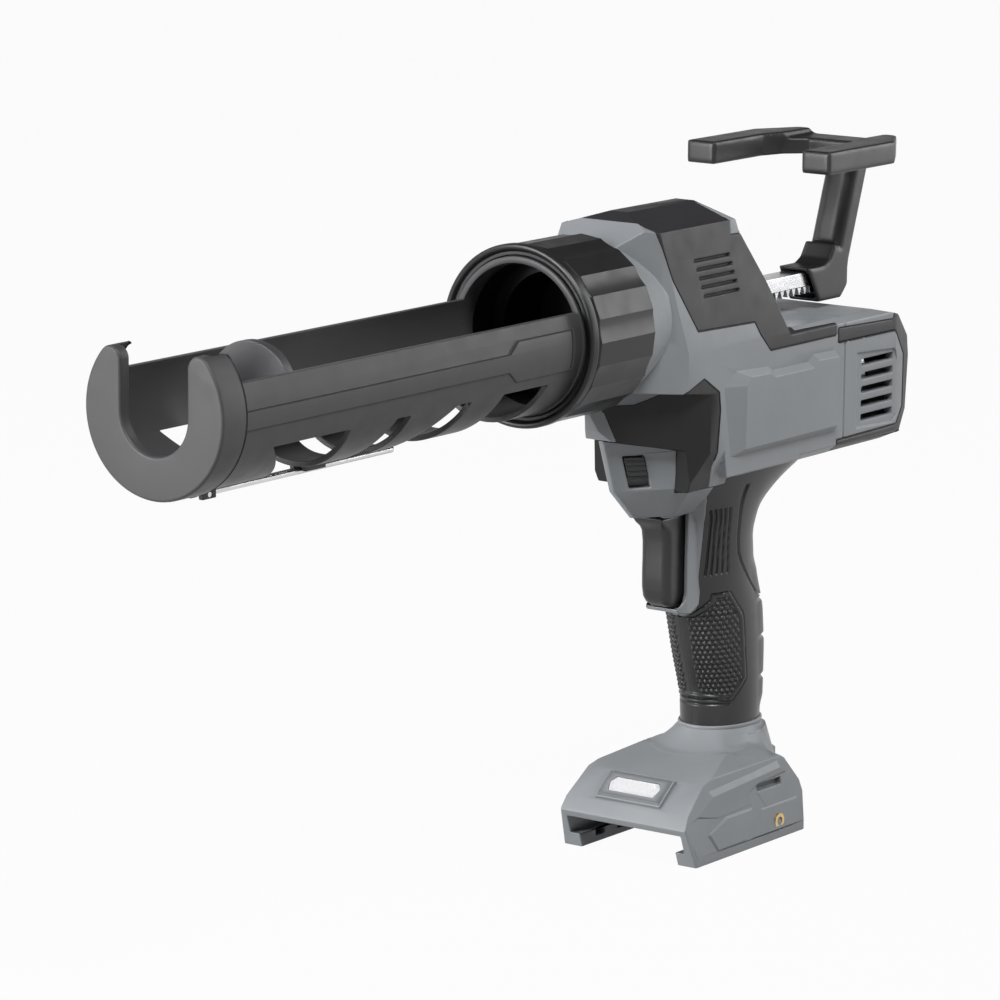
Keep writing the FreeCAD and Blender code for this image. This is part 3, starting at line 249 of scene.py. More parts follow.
# %% Helper that mixes a metal
def metal(name, colour, rough, stretch=None, line_size=0.5 * MM, line_height=0.01 * MM):
    finish, tree, shader, place = new_finish(name)
    cloud = noise_field(tree, place, 60.0, 4.0)
    ramp = drifting_colour(tree, cloud.outputs["Fac"], colour, 0.07)
    link(tree, ramp.outputs["Color"], shader.inputs["Base Color"])
    shader.inputs["Metallic"].default_value = 1.0
    lines = noise_field(tree, place, 1.0 / line_size, 3.0, stretch)
    spread = ranged(tree, lines.outputs["Fac"], rough - 0.06, rough + 0.08)
    link(tree, spread.outputs["Result"], shader.inputs["Roughness"])
    bump = tree.nodes.new("ShaderNodeBump")
    bump.inputs["Strength"].default_value = 0.3
    bump.inputs["Distance"].default_value = line_height
    link(tree, lines.outputs["Fac"], bump.inputs["Height"])
    link(tree, bump.outputs["Normal"], shader.inputs["Normal"])
    return finish


# %% Mix the metals
drawn_steel = metal("drawn_steel", (0.66, 0.66, 0.67), 0.24, (0.06, 1, 1))
wire_steel = metal("wire_steel", (0.62, 0.62, 0.63), 0.22, (0.08, 1, 1))
gear_steel = metal("gear_steel", (0.42, 0.42, 0.43), 0.34)
dark_casting = metal("dark_casting", (0.030, 0.030, 0.032), 0.5)
motor_zinc = metal("motor_zinc", (0.46, 0.46, 0.47), 0.36)
brass = metal("brass", (0.62, 0.44, 0.20), 0.28)
black_screw = metal("black_screw", (0.09, 0.09, 0.095), 0.4)
board_green = moulded("board_green", (0.012, 0.07, 0.03), 0.45, 0.5)
metals = [drawn_steel, wire_steel, gear_steel, dark_casting, motor_zinc, brass, black_screw]
print("metals mixed:", len(metals))


# %% [markdown]
# ## Clear lens
# A small work light sits in the foot behind a clear moulded window. A true glass shader needs light
# behind it, so the window is a milky clear plastic that lets a quarter of the light through, frosted by a
# fine noise.


# %% Mix the lens plastic
def clear_plastic(name):
    finish, tree, shader, place = new_finish(name)
    frost = noise_field(tree, place, 900.0, 2.0)
    spread = ranged(tree, frost.outputs["Fac"], 0.05, 0.16)
    link(tree, spread.outputs["Result"], shader.inputs["Roughness"])
    tint = drifting_colour(tree, frost.outputs["Fac"], (0.70, 0.70, 0.72), 0.05)
    link(tree, tint.outputs["Color"], shader.inputs["Base Color"])
    shader.inputs["Transmission Weight"].default_value = 0.25
    shader.inputs["IOR"].default_value = 1.49
    return finish


lens_clear = clear_plastic("lens_clear")
print("lens plastic mixed:", lens_clear.name)

# %% [markdown]
# ## Which finish goes where
# Each measured part already carries the name of its finish in the record. A short table gives every one
# of those names a mixed material, so a part that keeps its measured shape only has its slot filled.

# %% Fill the slots of all parts
finish_for = {
    "holder_plastic": charcoal_trough, "collar_plastic": collar_black, "shell_grey": grey_shell,
    "cover_black": satin_black, "grip_rubber": grip_rubber, "handle_gloss": handle_black,
    "rack_steel": drawn_steel, "wire_steel": wire_steel, "piston_metal": piston_black,
    "gear_steel": gear_steel, "bracket_metal": dark_casting, "motor_metal": motor_zinc,
    "brass": brass, "lens_clear": lens_clear, "board_resin": board_green,
    "inner_black": dull_inner, "screw_steel": black_screw,
}
slot_of = {}
for node, part in frame["nodes"].items():
    slot = part.data.materials[0].name.split(".")[0]
    slot_of[node] = slot
    part.data.materials[0] = finish_for[slot]
print("slots filled:", len(slot_of))

# %% [markdown]
# ## Softened edges
# No moulded edge is truly sharp: a small radius catches a thin line of light, and that line is what makes
# a part look real. The measured meshes are triangles, so the flat ones are first joined into whole faces
# again and split only where a face is hollow. Two halves that meet at the middle are joined too, without
# the faces between them. Then the edges that turn sharply get a bevel weight, and a Bevel modifier rounds
# only those. Where a narrow corner throws a point off the part, the point is pulled back onto the
# measured surface.


# %% Helper that softens one part
flat_turn = 0.5
crease_turn = 11.0
round_turn = 28.0
weld_reach = 0.004 * MM
seam_reach = 0.02 * MM


def on_seam(corners):
    return all(abs(vertex.co.y) < seam_reach for vertex in corners)


def whole_faces(node_names):
    shape = bmesh.new()
    for node in node_names:
        shape.from_mesh(frame["nodes"][node].data)
    if len(node_names) > 1:
        inside = [face for face in shape.faces if on_seam(face.verts)]
        bmesh.ops.delete(shape, geom=inside, context="FACES_ONLY")
    bmesh.ops.remove_doubles(shape, verts=shape.verts, dist=weld_reach)
    bmesh.ops.dissolve_degenerate(shape, edges=shape.edges, dist=weld_reach)
    bmesh.ops.dissolve_limit(shape, angle_limit=math.radians(flat_turn), verts=shape.verts,
                             edges=shape.edges)
    bmesh.ops.connect_verts_concave(shape, faces=shape.faces)
    return shape


def mark_sharp(shape):
    weight = shape.edges.layers.float.new("bevel_weight_edge")
    count = 0
    for face in shape.faces:
        face.smooth = True
    for edge in shape.edges:
        turn = math.degrees(edge.calc_face_angle(math.pi)) if len(edge.link_faces) == 2 else 180
        rounded = turn > round_turn and not on_seam(edge.verts)
        edge.smooth = rounded or turn < crease_turn
        if rounded:
            edge[weight] = 1.0
            count += 1
    return count


def dress(piece, node_names, finish, body):
    piece.data.materials.clear()
    piece.data.materials.append(finish)
    if node_names:
        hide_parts(*node_names)
    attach(piece, body)


def skin_of(*node_names):
    points = []
    faces = []
    for node in node_names:
        mesh = frame["nodes"][node].data
        mesh.calc_loop_triangles()
        start = len(points)
        points += [vertex.co.copy() for vertex in mesh.vertices]
        faces += [tuple(start + index for index in triangle.vertices) for triangle in mesh.loop_triangles]
    return BVHTree.FromPolygons(points, faces)


def pull_back(mesh, node_names, radius):
    surface = skin_of(*node_names)
    strays = 0
    for vertex in mesh.vertices:
        nearest, _, _, distance = surface.find_nearest(vertex.co)
        if distance > radius:
            vertex.co = nearest
            strays += 1
    return strays


def softened(name, node_names, radius):
    mesh = bpy.data.meshes.new(name)
    shape = whole_faces(node_names)
    count = mark_sharp(shape)
    shape.to_mesh(mesh)
    shape.free()
    piece = bpy.data.objects.new(name + "_soft", mesh)
    bpy.context.collection.objects.link(piece)
    rounding = piece.modifiers.new("rounded_edges", "BEVEL")
    rounding.limit_method = "WEIGHT"
    rounding.width = radius
    rounding.segments = 2
    rounding.use_clamp_overlap = False
    rounding.loop_slide = False
    rounding.miter_outer = "MITER_ARC"
    view = bpy.context.evaluated_depsgraph_get()
    piece.data = bpy.data.meshes.new_from_object(piece.evaluated_get(view))
    piece.data.name = piece.name
    piece.modifiers.clear()
    strays = pull_back(piece.data, node_names, radius)
    piece.modifiers.new("even_shading", "WEIGHTED_NORMAL").keep_sharp = True
    node = node_names[0]
    # The side panels take the darker copy of the cover's black: painted shade.
    finish = panel_black_shaded if node.startswith("side_panel") else finish_for[slot_of[node]]
    dress(piece, node_names, finish, body_of[node])
    print(name, "edges rounded:", count, "points pulled back:", strays)
    return piece


# %% Soften the moulded parts
soft_radius = {
    "front_cap": 1.0, "cartridge_holder": 0.35, "top_cover": 0.5, "rear_band": 0.8,
    "side_panel_left": 0.4, "side_panel_right": 0.4, "lock_slider": 0.3, "rack_rod": 0.15, "piston": 0.4,
}
for node, radius in soft_radius.items():
    softened(node, [node], radius * MM)
shell_radius = 0.4
for name in ("housing", "foot"):
    softened(name, [name + "_left", name + "_right"], shell_radius * MM)

# %% [markdown]
# ## Lofted pieces
# Several pieces below are skins drawn over a row of outlines. One helper makes a mesh from points in
# millimetres, and one joins neighbouring outlines, point by point, with four-sided faces.

# %% Helpers that loft outlines
def mesh_piece(name, points, faces):
    mesh = bpy.data.meshes.new(name)
    mesh.from_pydata([Vector(point) * MM for point in points], [], faces)
    mesh.shade_smooth()
    piece = bpy.data.objects.new(name, mesh)
    bpy.context.collection.objects.link(piece)
    return piece


def loft_rows(name, rows, closed_row=True, capped=True):
    count = len(rows[0])
    points = [point for row in rows for point in row]
    faces = []
    for level in range(len(rows) - 1):
        for index in range(count if closed_row else count - 1):
            after = (index + 1) % count
            faces.append((level * count + index, level * count + after, (level + 1) * count + after,
                          (level + 1) * count + index))
    if capped:
        faces.append(tuple(reversed(range(count))))
        faces.append(tuple(range((len(rows) - 1) * count, len(rows) * count)))
    return mesh_piece(name, points, faces)


# %% [markdown]
# ## The lock collar
# The collar that locks the trough is turned by hand, so it has a front bead and twelve shallow flutes
# between flats. Its shape is one outline swept round with the flutes on the long middle rows only. It is
# lofted ring by ring: each ring has a place along the rod, a radius and a share of the flutes. The
# trough's end shows inside it as a plain ring, lofted in the same way with no flutes.

# %% Loft the collar and the trough's end ring
collar_flutes = 12
flute_depth = 0.4
flute_steps = 4
lip_radius = min(math.hypot(v.co.y, v.co.z) for v in frame["nodes"]["lock_collar"].data.vertices) / MM
collar_rings = [
    (-4.0, lip_radius, 0), (-1.8, lip_radius, 0), (-1.6, lip_radius + 0.3, 0), (-1.6, 30.1, 0),
    (-1.2, 30.5, 0), (-0.5, 30.8, 0), (-0.1, 31.3, 0), (0, 31.9, 0), (-0.15, 32.5, 0), (-0.6, 32.9, 0),
    (-1.2, 33.0, 0), (-3.4, 33.0, 0), (-3.9, 32.8, 0), (-4.1, 32.2, 0), (-4.2, 31.4, 0), (-5.2, 31.4, 0),
    (-5.3, 31.8, 0.6), (-5.7, 32.3, 1), (-6.2, 32.5, 1), (-38.8, 32.5, 1), (-39.3, 32.3, 1),
    (-39.6, 31.7, 1), (-39.6, 30.6, 0)]


def fluted_ring(x, radius, share):
    ring = []
    step = math.pi / collar_flutes
    for index in range(2 * collar_flutes):
        for part in range(flute_steps):
            away = (part / flute_steps - 0.5) * step
            chord = radius * math.cos(step / 2) / math.cos(away)
            hollow = flute_depth * (1 - (2 * away / step) ** 2) if index % 2 else 0.0
            reach = radius + share * (chord - hollow - radius)
            turn = index * step + step / 2 + away
            ring.append((x, reach * math.sin(turn), reach * math.cos(turn)))
    return ring


def creased(piece, turn):
    shape = bmesh.new()
    shape.from_mesh(piece.data)
    bmesh.ops.recalc_face_normals(shape, faces=shape.faces)
    for edge in shape.edges:
        edge.smooth = edge.calc_face_angle(0) < math.radians(turn)
    shape.to_mesh(piece.data)
    shape.free()
    return piece


collar = loft_rows("collar_grip", [fluted_ring(*ring) for ring in collar_rings], capped=False)
dress(creased(collar, 10.0), ["lock_collar"], collar_black, body_of["lock_collar"])
end_rings = [(-4.4, 26.0, 0), (-0.8, 26.0, 0), (-0.4, 26.15, 0), (-0.25, 26.5, 0),
             (-0.25, lip_radius - 0.8, 0), (-0.4, lip_radius - 0.45, 0), (-0.8, lip_radius - 0.3, 0),
             (-4.4, lip_radius - 0.3, 0)]
end_ring = loft_rows("trough_end_ring", [fluted_ring(*ring) for ring in end_rings], capped=False)
dress(creased(end_ring, 40.0), [], charcoal_trough, body_of["cartridge_holder"])
print("collar lip radius", round(lip_radius, 2), "mm")

# %% [markdown]
# ## The pull handle
# The handle that draws the rod back is one thick moulding with large soft radii, more like melted wax
# than cut stock. Bevelling every edge by hand would be slow, so the measured handle is turned into an
# even skin of small cells with Voxel Remesh, and that skin is relaxed until the corners are round. Its
# cross pin is moulded over, so the pin goes into the same skin.

# %% Melt the pull handle into one soft moulding
def joined_copy(name, node_names):
    shape = bmesh.new()
    for node in node_names:
        shape.from_mesh(frame["nodes"][node].data)
    mesh = bpy.data.meshes.new(name)
    shape.to_mesh(mesh)
    shape.free()
    piece = bpy.data.objects.new(name, mesh)
    bpy.context.collection.objects.link(piece)
    return piece


def settle(piece):
    view = bpy.context.evaluated_depsgraph_get()
    mesh = bpy.data.meshes.new_from_object(piece.evaluated_get(view))
    piece.modifiers.clear()
    piece.data = mesh
    mesh.name = piece.name
    mesh.shade_smooth()
    return piece


def melted(name, node_names, cell, rounds, kept_share):
    piece = joined_copy(name, node_names)
    skin = piece.modifiers.new("even_cells", "REMESH")
    skin.mode = "VOXEL"
    skin.voxel_size = cell
    relax = piece.modifiers.new("relaxed", "SMOOTH")
    relax.factor = 0.5
    relax.iterations = rounds
    thin = piece.modifiers.new("fewer_faces", "DECIMATE")
    thin.ratio = kept_share
    settle(piece)
    print(name, "points:", len(piece.data.vertices))
    return piece


handle_nodes = ["pull_handle", "handle_pin"]
pull_handle = melted("pull_handle_moulding", handle_nodes, cell=0.6 * MM, rounds=14, kept_share=0.35)
dress(pull_handle, handle_nodes, handle_black, body_of["pull_handle"])

# %% [markdown]
# ## The trigger
# A finger lies on the trigger for hours, so its front is a smooth bar with broad round corners under a
# flat head. It is lofted from level outlines: each outline is a short row of points with two round front
# corners, and the lowest ones shrink to close the tip.

# %% Loft the trigger
trigger_rear = -106.0
trigger_levels = [
    (-77.0, -82.4, 6.5, 0.6), (-79.0, -82.7, 6.6, 0.8), (-80.6, -83.8, 6.6, 1.6), (-82.2, -85.5, 6.5, 2.6),
    (-84.0, -86.4, 6.5, 3.2), (-88.0, -86.8, 6.4, 3.4), (-94.0, -86.9, 6.4, 3.4), (-100.0, -86.7, 6.4, 3.4),
    (-105.5, -86.8, 6.4, 3.4), (-109.0, -87.4, 6.3, 3.4), (-111.2, -88.8, 6.0, 3.4),
    (-112.6, -90.8, 5.4, 3.2), (-113.2, -93.0, 4.4, 2.8), (-113.4, -95.0, 3.2, 2.0)]
tip_height = -109.0
tip_slope = 1.3


def corner_row(front, half, radius, rear, height, steps=6):
    row = [(rear, half, height)]
    for index in range(steps + 1):
        turn = math.pi / 2 * (1 - index / steps)
        x = front - radius + radius * math.cos(turn)
        y = half - radius + radius * math.sin(turn)
        row.append((x, y, height))
    return row + [(x, -y, z) for x, y, z in reversed(row)]


trigger_rows = []
for height, front, half, radius in trigger_levels:
    rear = trigger_rear + max(0.0, tip_height - height) * tip_slope
    trigger_rows.append(corner_row(front, half, radius, rear, height))
no_crease = 180.0
trigger = creased(loft_rows("trigger_bar", trigger_rows), no_crease)
trigger.modifiers.new("even_shading", "WEIGHTED_NORMAL")
dress(trigger, ["trigger"], handle_black, body_of["trigger"])
print("trigger points:", len(trigger.data.vertices))

# %% [markdown]
# ## The grip
# The grip is a soft skin over the handle: five long slots below the motor, a sunk panel of small domes
# where the fingers close, a seam behind it, cushions down the back and a double ring at the bottom.
# Cutting each of these would take hundreds of small cuts. A fine net of points is laid over the handle
# instead, and each point is pushed in or out by a few simple rules of where it lies, as in sculpting.

# %% The handle's form under the skin
handle_stations = [
    (-58.0, -76.0, -192.0, 18.0), (-65.0, -79.5, -186.2, 17.5), (-72.0, -87.6, -164.7, 16.7),
    (-79.6, -98.0, -148.5, 16.0), (-89.3, -100.0, -143.3, 15.5), (-105.5, -100.4, -145.6, 14.9),
    (-119.6, -104.7, -150.8, 14.6), (-134.7, -108.5, -152.6, 14.0), (-149.8, -114.0, -152.0, 13.5),
    (-166.0, -115.4, -151.1, 13.5)]
grip_edge = [(-60.0, 57.0), (-73.0, 51.0), (-82.0, 41.5), (-97.0, 36.5), (-111.0, 33.0), (-116.0, 27.0),
             (-118.2, 14.0), (-119.4, 0.0)]


def between(table, height, column):
    for upper, lower in zip(table, table[1:]):
        if height >= lower[0]:
            share = (upper[0] - height) / (upper[0] - lower[0])
            return upper[column] + (lower[column] - upper[column]) * min(1.0, max(0.0, share))
    return table[-1][column]


def handle_ring(height, reach=3.0):
    heights = [height + reach * step / 4 for step in range(-4, 5)]
    front = sum(between(handle_stations, z, 1) for z in heights) / len(heights)
    rear = sum(between(handle_stations, z, 2) for z in heights) / len(heights)
    half = sum(between(handle_stations, z, 3) for z in heights) / len(heights)
    return (front + rear) / 2, (front - rear) / 2, half


print("handle at half height:", [round(value, 1) for value in handle_ring(-112)])

# %% [markdown]
# ## Rules for the grip's skin
# Each rule below says how far one point of the skin moves in or out. A point is known by its turn, in
# degrees round the handle from the front to the back, and by its height. To measure how near it is to a
# slot or a seam, a turn is changed into millimetres along the skin. The rise then fades smoothly over a
# short distance, because a sudden step would leave jagged edges in the net.

# %% Rules that shape the skin
turn_length = 0.31
panel_edge = [(-20, -117.6), (20.6, -117.6), (35.6, -115.2), (48.1, -112.4), (49.9, -110.4), (71.9, -110.1),
              (85.1, -120.5), (83.6, -145.2), (59.2, -153.1), (22.4, -151.8), (-20, -151.6)]
slot_lines = [((51.1, -77.8), (43.2, -102.5)), ((56.5, -77.6), (50.1, -102.4)),
              ((61.6, -77.5), (57.0, -102.1)), ((66.7, -77.6), (63.9, -102.1)),
              ((71.8, -77.5), (71.3, -102.1))]
seam_line = [(84.3, -70.0), (84.3, -77.1), (87.4, -95.3), (91.4, -99.1), (118.8, -113.4), (150.0, -117.5)]
ring_heights = (-152.0, -154.2)
cushion_gaps = (-117.0, -131.8, -147.4)
dome_pitch = 2.25
dome_row = dome_pitch * 0.86
dome_rise = 0.95
dome_radius = 1.02


def to_run(start, end, turn, height):
    ax, az = start[0] * turn_length, start[1]
    bx, bz = end[0] * turn_length, end[1]
    px, pz = turn * turn_length, height
    run = (bx - ax) ** 2 + (bz - az) ** 2
    share = min(1.0, max(0.0, ((px - ax) * (bx - ax) + (pz - az) * (bz - az)) / run))
    return math.hypot(px - ax - share * (bx - ax), pz - az - share * (bz - az))


def inside_panel(turn, height):
    inside = False
    for (at, az), (bt, bz) in zip(panel_edge, panel_edge[1:] + panel_edge[:1]):
        if (az > height) != (bz > height) and turn < (bt - at) * (height - az) / (bz - az) + at:
            inside = not inside
    return inside


def dome(turn, height):
    row = round(-height / dome_row)
    across = turn * turn_length / dome_pitch - 0.5 * (row % 2)
    column = round(across)
    away = math.hypot((across - column) * dome_pitch, -height - row * dome_row)
    return dome_rise * max(0.0, 1 - (away / dome_radius) ** 2)


def step_between(value, low, high):
    share = min(1.0, max(0.0, (value - low) / (high - low)))
    return share * share * (3 - 2 * share)


def panel_rise(turn, height):
    edge = min(to_run(a, b, turn, height) for a, b in zip(panel_edge, panel_edge[1:]))
    if not inside_panel(turn, height):
        return -0.55 * (1 - step_between(edge, 0.35, 0.75))
    rise = 0.35 * (1 - step_between(edge, 1.0, 1.7)) - 0.45 * step_between(edge, 1.0, 2.0)
    if edge > 1.9 and turn > 12.5:
        rise += dome(turn, height)
    return rise


def skin_rise(turn, height):
    rise = 0.0
    if -77 >= height >= -103 and 40 < turn < 75:
        nearest = min(to_run(a, b, turn, height) for a, b in slot_lines)
        rise -= 1.1 * (1 - step_between(nearest, 0.25, 0.6))
    if -108 > height > -155 and turn < 90:
        rise += panel_rise(turn, height)
    if height > -119:
        nearest = min(to_run(a, b, turn, height) for a, b in zip(seam_line, seam_line[1:]))
        rise -= 0.8 * (1 - step_between(nearest, 0.3, 0.7))
    if -99 > height > -160:
        back = step_between(turn, 112, 135) * step_between(-height, 99, 106)
        back *= 1 - step_between(-height, 154, 160)
        gap = min(abs(height - middle) for middle in cushion_gaps)
        rise += 0.9 * back * step_between(gap, 0.4, 1.6)
    if turn < 59:
        rise -= 0.6 * max(1 - step_between(abs(height - ring), 0.25, 0.6) for ring in ring_heights)
    return rise


# %% [markdown]
# ## The net over the handle
# The rubber skin ends in front along a curved edge, and the grey shell fills the cheek before it. Both
# are nets of the same kind: rows down the handle, and points round it from a first turn to a last. The
# skin's net is fine enough for the small domes, the smooth cheek's is coarse. The outermost points of
# each row are turned inwards, so the edge looks thick.

# %% Lay the net over both halves of the handle
grip_top = -61.0
skin_bottom = -165.5
skin_cell = 0.32
skin_columns = 175
cheek_bottom = -118.6
cheek_cell = 0.8
cheek_columns = 16
cheek_lift = 0.1


def grip_half(name, side, turn_from, turn_to, bottom, cell, columns, rise_rule, inward=1.6):
    rows = round((grip_top - bottom) / cell)
    net = []
    for row in range(rows + 1):
        height = grip_top + (bottom - grip_top) * row / rows
        middle, reach, half = handle_ring(height)
        low, high = turn_from(height), turn_to(height)
        line = []
        for column in range(-1, columns + 2):
            turn = low + (high - low) * min(columns, max(0, column)) / columns
            sunk = inward if column in (-1, columns + 1) else -rise_rule(turn, height)
            angle = math.radians(turn)
            x = middle + (reach - sunk) * math.cos(angle)
            y = side * (half - sunk) * math.sin(angle)
            line.append((x, y, height))
        net.append(line)
    piece = loft_rows(name, net, closed_row=False, capped=False)
    if side > 0:
        piece.data.flip_normals()
    print(name, "points:", len(piece.data.vertices))
    return piece


def edge_turn(height):
    return between(grip_edge, height, 1)


def back_turn(height):
    return 180.0


def cheek_turn(height):
    return 14.0 * step_between(height, -119, -112)


def cheek_rise(turn, height):
    return cheek_lift


for side, node in ((1, "grip_left"), (-1, "grip_right")):
    half = grip_half(node + "_skin", side, edge_turn, back_turn, skin_bottom, skin_cell, skin_columns,
                     skin_rise)
    dress(half, [node], grip_rubber, body_of[node])
    cheek = grip_half(node + "_cheek", side, cheek_turn, edge_turn, cheek_bottom, cheek_cell, cheek_columns,
                      cheek_rise)
    dress(cheek, [], grey_shell, body_of[node])

# %% [markdown]
# ## Raised plates
# Both flanks of the motor barrel carry a broad raised plate with sloping borders, and the foot has
# smaller ones. They are flat fields with a chamfer, so each is made from two outlines: the outer one lies
# in the skin, the inner one stands proud, and a ring of faces joins them. A ray shot sideways onto the
# measured skin finds where to lie.

# %% Helper that lays a raised plate on a flank
root_depth = 0.2
plate_turn = 8.0


def flank_at(skin, x, z, side):
    hit, _, _, _ = skin.ray_cast(Vector((x * MM, side * 0.2, z * MM)), Vector((0, -side, 0)))
    return hit.y / MM


def finely_edged(piece, side, edge, turn):
    shape = bmesh.new()
    shape.from_mesh(piece.data)
    bmesh.ops.recalc_face_normals(shape, faces=shape.faces)
    if sum(face.normal.y * face.calc_area() for face in shape.faces) * side < 0:
        bmesh.ops.reverse_faces(shape, faces=shape.faces)
    shape.to_mesh(piece.data)
    shape.free()
    rounding = piece.modifiers.new("rounded_edges", "BEVEL")
    rounding.width = edge * MM
    rounding.segments = 2
    rounding.angle_limit = math.radians(turn)
    piece.modifiers.new("even_shading", "WEIGHTED_NORMAL")
    return piece


def wall_faces(count, start):
    after = [(index + 1) % count for index in range(count)]
    return [(index, after[index], start + after[index], start + index) for index in range(count)]


def raised_plate(name, skin, inner, outer, lift, side, edge=0.25, level=False):
    flanks = [abs(flank_at(skin, x, z, side)) for x, z in inner]
    if level:
        flanks = [max(flanks)] * len(flanks)
    top = [(x, side * (flank + lift), z) for (x, z), flank in zip(inner, flanks)]
    root = [(x, flank_at(skin, x, z, side) - side * root_depth, z) for x, z in outer]
    count = len(inner)
    piece = mesh_piece(name, top + root, wall_faces(count, count) + [tuple(range(count))])
    return finely_edged(piece, side, edge, plate_turn)


# %% Lay the plates on the motor barrel and the foot
plate_field = [(-110.0, -26.3), (-122.8, -26.5), (-126.3, -28.3), (-152.5, -28.4), (-155.9, -25.9),
               (-169.8, -26.3), (-169.8, -52.6), (-106.5, -52.8), (-107.2, -29.2)]
plate_border = [(-102.0, -23.0), (-124.0, -24.0), (-127.4, -25.8), (-151.0, -25.9), (-154.6, -23.4),
                (-170.2, -23.8), (-170.2, -55.4), (-94.0, -57.0), (-94.4, -28.4)]
motor_lift = 1.5
foot_fields = {
    "front_plate": (
        [(-84.0, -194.4), (-96.4, -190.6), (-112.4, -190.6), (-106.8, -200.6), (-88.4, -200.6)],
        [(-82.2, -194.2), (-95.8, -189.6), (-114.0, -189.6), (-107.6, -201.6), (-87.6, -201.6)]),
    "hook_plate": (
        [(-112.0, -201.0), (-120.4, -192.2), (-143.4, -192.2), (-146.4, -201.0)],
        [(-109.4, -201.8), (-117.4, -190.8), (-144.2, -190.8), (-147.4, -201.8)]),
}
foot_lift = {"front_plate": 0.55, "hook_plate": 0.2}
foot_edge = 0.15
for side, hand in ((1, "left"), (-1, "right")):
    barrel = skin_of("housing_" + hand)
    plate = raised_plate("motor_plate_" + hand, barrel, plate_field, plate_border, motor_lift, side,
                         level=True)
    dress(plate, [], grey_shell, body_of["housing_" + hand])
    foot = skin_of("foot_" + hand)
    for name, (field, border) in foot_fields.items():
        plate = raised_plate(name + "_" + hand, foot, field, border, foot_lift[name], side, foot_edge)
        dress(plate, [], grey_shell, body_of["foot_" + hand])
print("plates laid on both flanks")

# %% [markdown]
# ## The foot's brow
# Along the top of each flank the foot is cut back in flat facets, one along the top and one down the
# front corner, and the flank below stands a little proud and stops short of the vent. Flat facets are
# best placed corner by corner: the corners are listed once and mirrored, and the rim is turned inwards so
# that the patch has a thickness.

# %% Fold the brow's facets
brow_corners = [
    (-84.3, 24.7, -175.6), (-133.0, 25.3, -174.4), (-134.0, 27.2, -178.6), (-138.0, 27.3, -180.6),
    (-118.8, 27.45, -181.7), (-112.8, 27.65, -183.8), (-113.6, 28.15, -188.6), (-91.0, 28.3, -189.5),
    (-77.4, 28.2, -186.5), (-70.3, 28.0, -189.0), (-72.2, 26.6, -185.2), (-88.0, 27.65, -181.0)]
brow_facets = [(0, 1, 2, 11), (0, 11, 8, 9, 10), (11, 2, 3, 4, 5, 6, 7, 8)]
brow_rim = 11
brow_depth = 1.2
brow_drop = 0.2
brow_edge = 0.18
brow_turn = 5.0
for side, hand in ((1, "left"), (-1, "right")):
    corners = [(x, side * y, z) for x, y, z in brow_corners]
    sunk = [(x, side * (y - brow_depth), z - brow_drop) for x, y, z in brow_corners[:brow_rim]]
    walls = wall_faces(brow_rim, len(corners))
    brow = mesh_piece("foot_brow_" + hand, corners + sunk, brow_facets + walls)
    finely_edged(brow, side, brow_edge, brow_turn)
    dress(brow, [], grey_shell, body_of["foot_" + hand])
print("brow facets per flank:", len(brow_facets))

# %% [markdown]
# ## Parting lines
# Where the black cover and panels meet the grey shell, a narrow gap runs round them, dark with shade. A cut
# would need the shell's inside as well, so the gap is drawn: a thin dark bead follows each outline as
# painted shade, and rays shot sideways lay it half sunk on the skin. The outlines are written as shares of
# the case's length and height.

# %% Lay the parting lines
case_front = -40.0
case_long = 186.0
case_low = -64.0
case_tall = 102.0
cover_line = [(0.086, 0.955), (0.129, 0.771), (0.207, 0.572), (0.406, 0.562), (0.426, 0.51), (0.462, 0.446),
              (0.705, 0.446)]
panel_line = [(0.042, 0.3), (0.041, 0.32), (0.097, 0.318), (0.226, 0.398), (0.279, 0.338), (0.284, 0.272),
              (0.273, 0.08)]
band_line = [(0.711, 0.052), (0.945, 0.055), (0.985, 0.108), (0.988, 0.309), (0.93, 0.412), (0.711, 0.415)]


bead_step = 0.8


def case_place(share):
    return (case_front - case_long * share[0], case_low + case_tall * share[1])


def bead(name, skin, places, side, radius=0.28):
    line = []
    for (ax, az), (bx, bz) in zip(places, places[1:]):
        steps = max(2, round(math.hypot(bx - ax, bz - az) / bead_step))
        for index in range(steps):
            x = ax + (bx - ax) * index / steps
            z = az + (bz - az) * index / steps
            line.append((x, flank_at(skin, x, z, side), z))
    curve = bpy.data.curves.new(name, "CURVE")
    curve.dimensions = "3D"
    curve.bevel_depth = radius * MM
    curve.bevel_resolution = 1
    spline = curve.splines.new("POLY")
    spline.points.add(len(line) - 1)
    for point, place in zip(spline.points, line):
        point.co = (place[0] * MM, place[1] * MM, place[2] * MM, 1)
    piece = bpy.data.objects.new(name, curve)
    bpy.context.collection.objects.link(piece)
    view = bpy.context.evaluated_depsgraph_get()
    mesh = bpy.data.meshes.new_from_object(piece.evaluated_get(view))
    bpy.data.objects.remove(piece)
    solid = bpy.data.objects.new(name, mesh)
    bpy.context.collection.objects.link(solid)
    mesh.shade_smooth()
    return solid


for side, hand in ((1, "left"), (-1, "right")):
    shell = skin_of("housing_" + hand, "top_cover", "side_panel_" + hand, "rear_band")
    for name, shares in (("cover_gap_", cover_line), ("panel_gap_", panel_line), ("band_gap_", band_line)):
        line = bead(name + hand, shell, [case_place(share) for share in shares], side)
        # The bead's dark colour is painted shade of the gap.
        dress(line, [], dull_inner, body_of["housing_left"])
print("parting lines on both flanks")
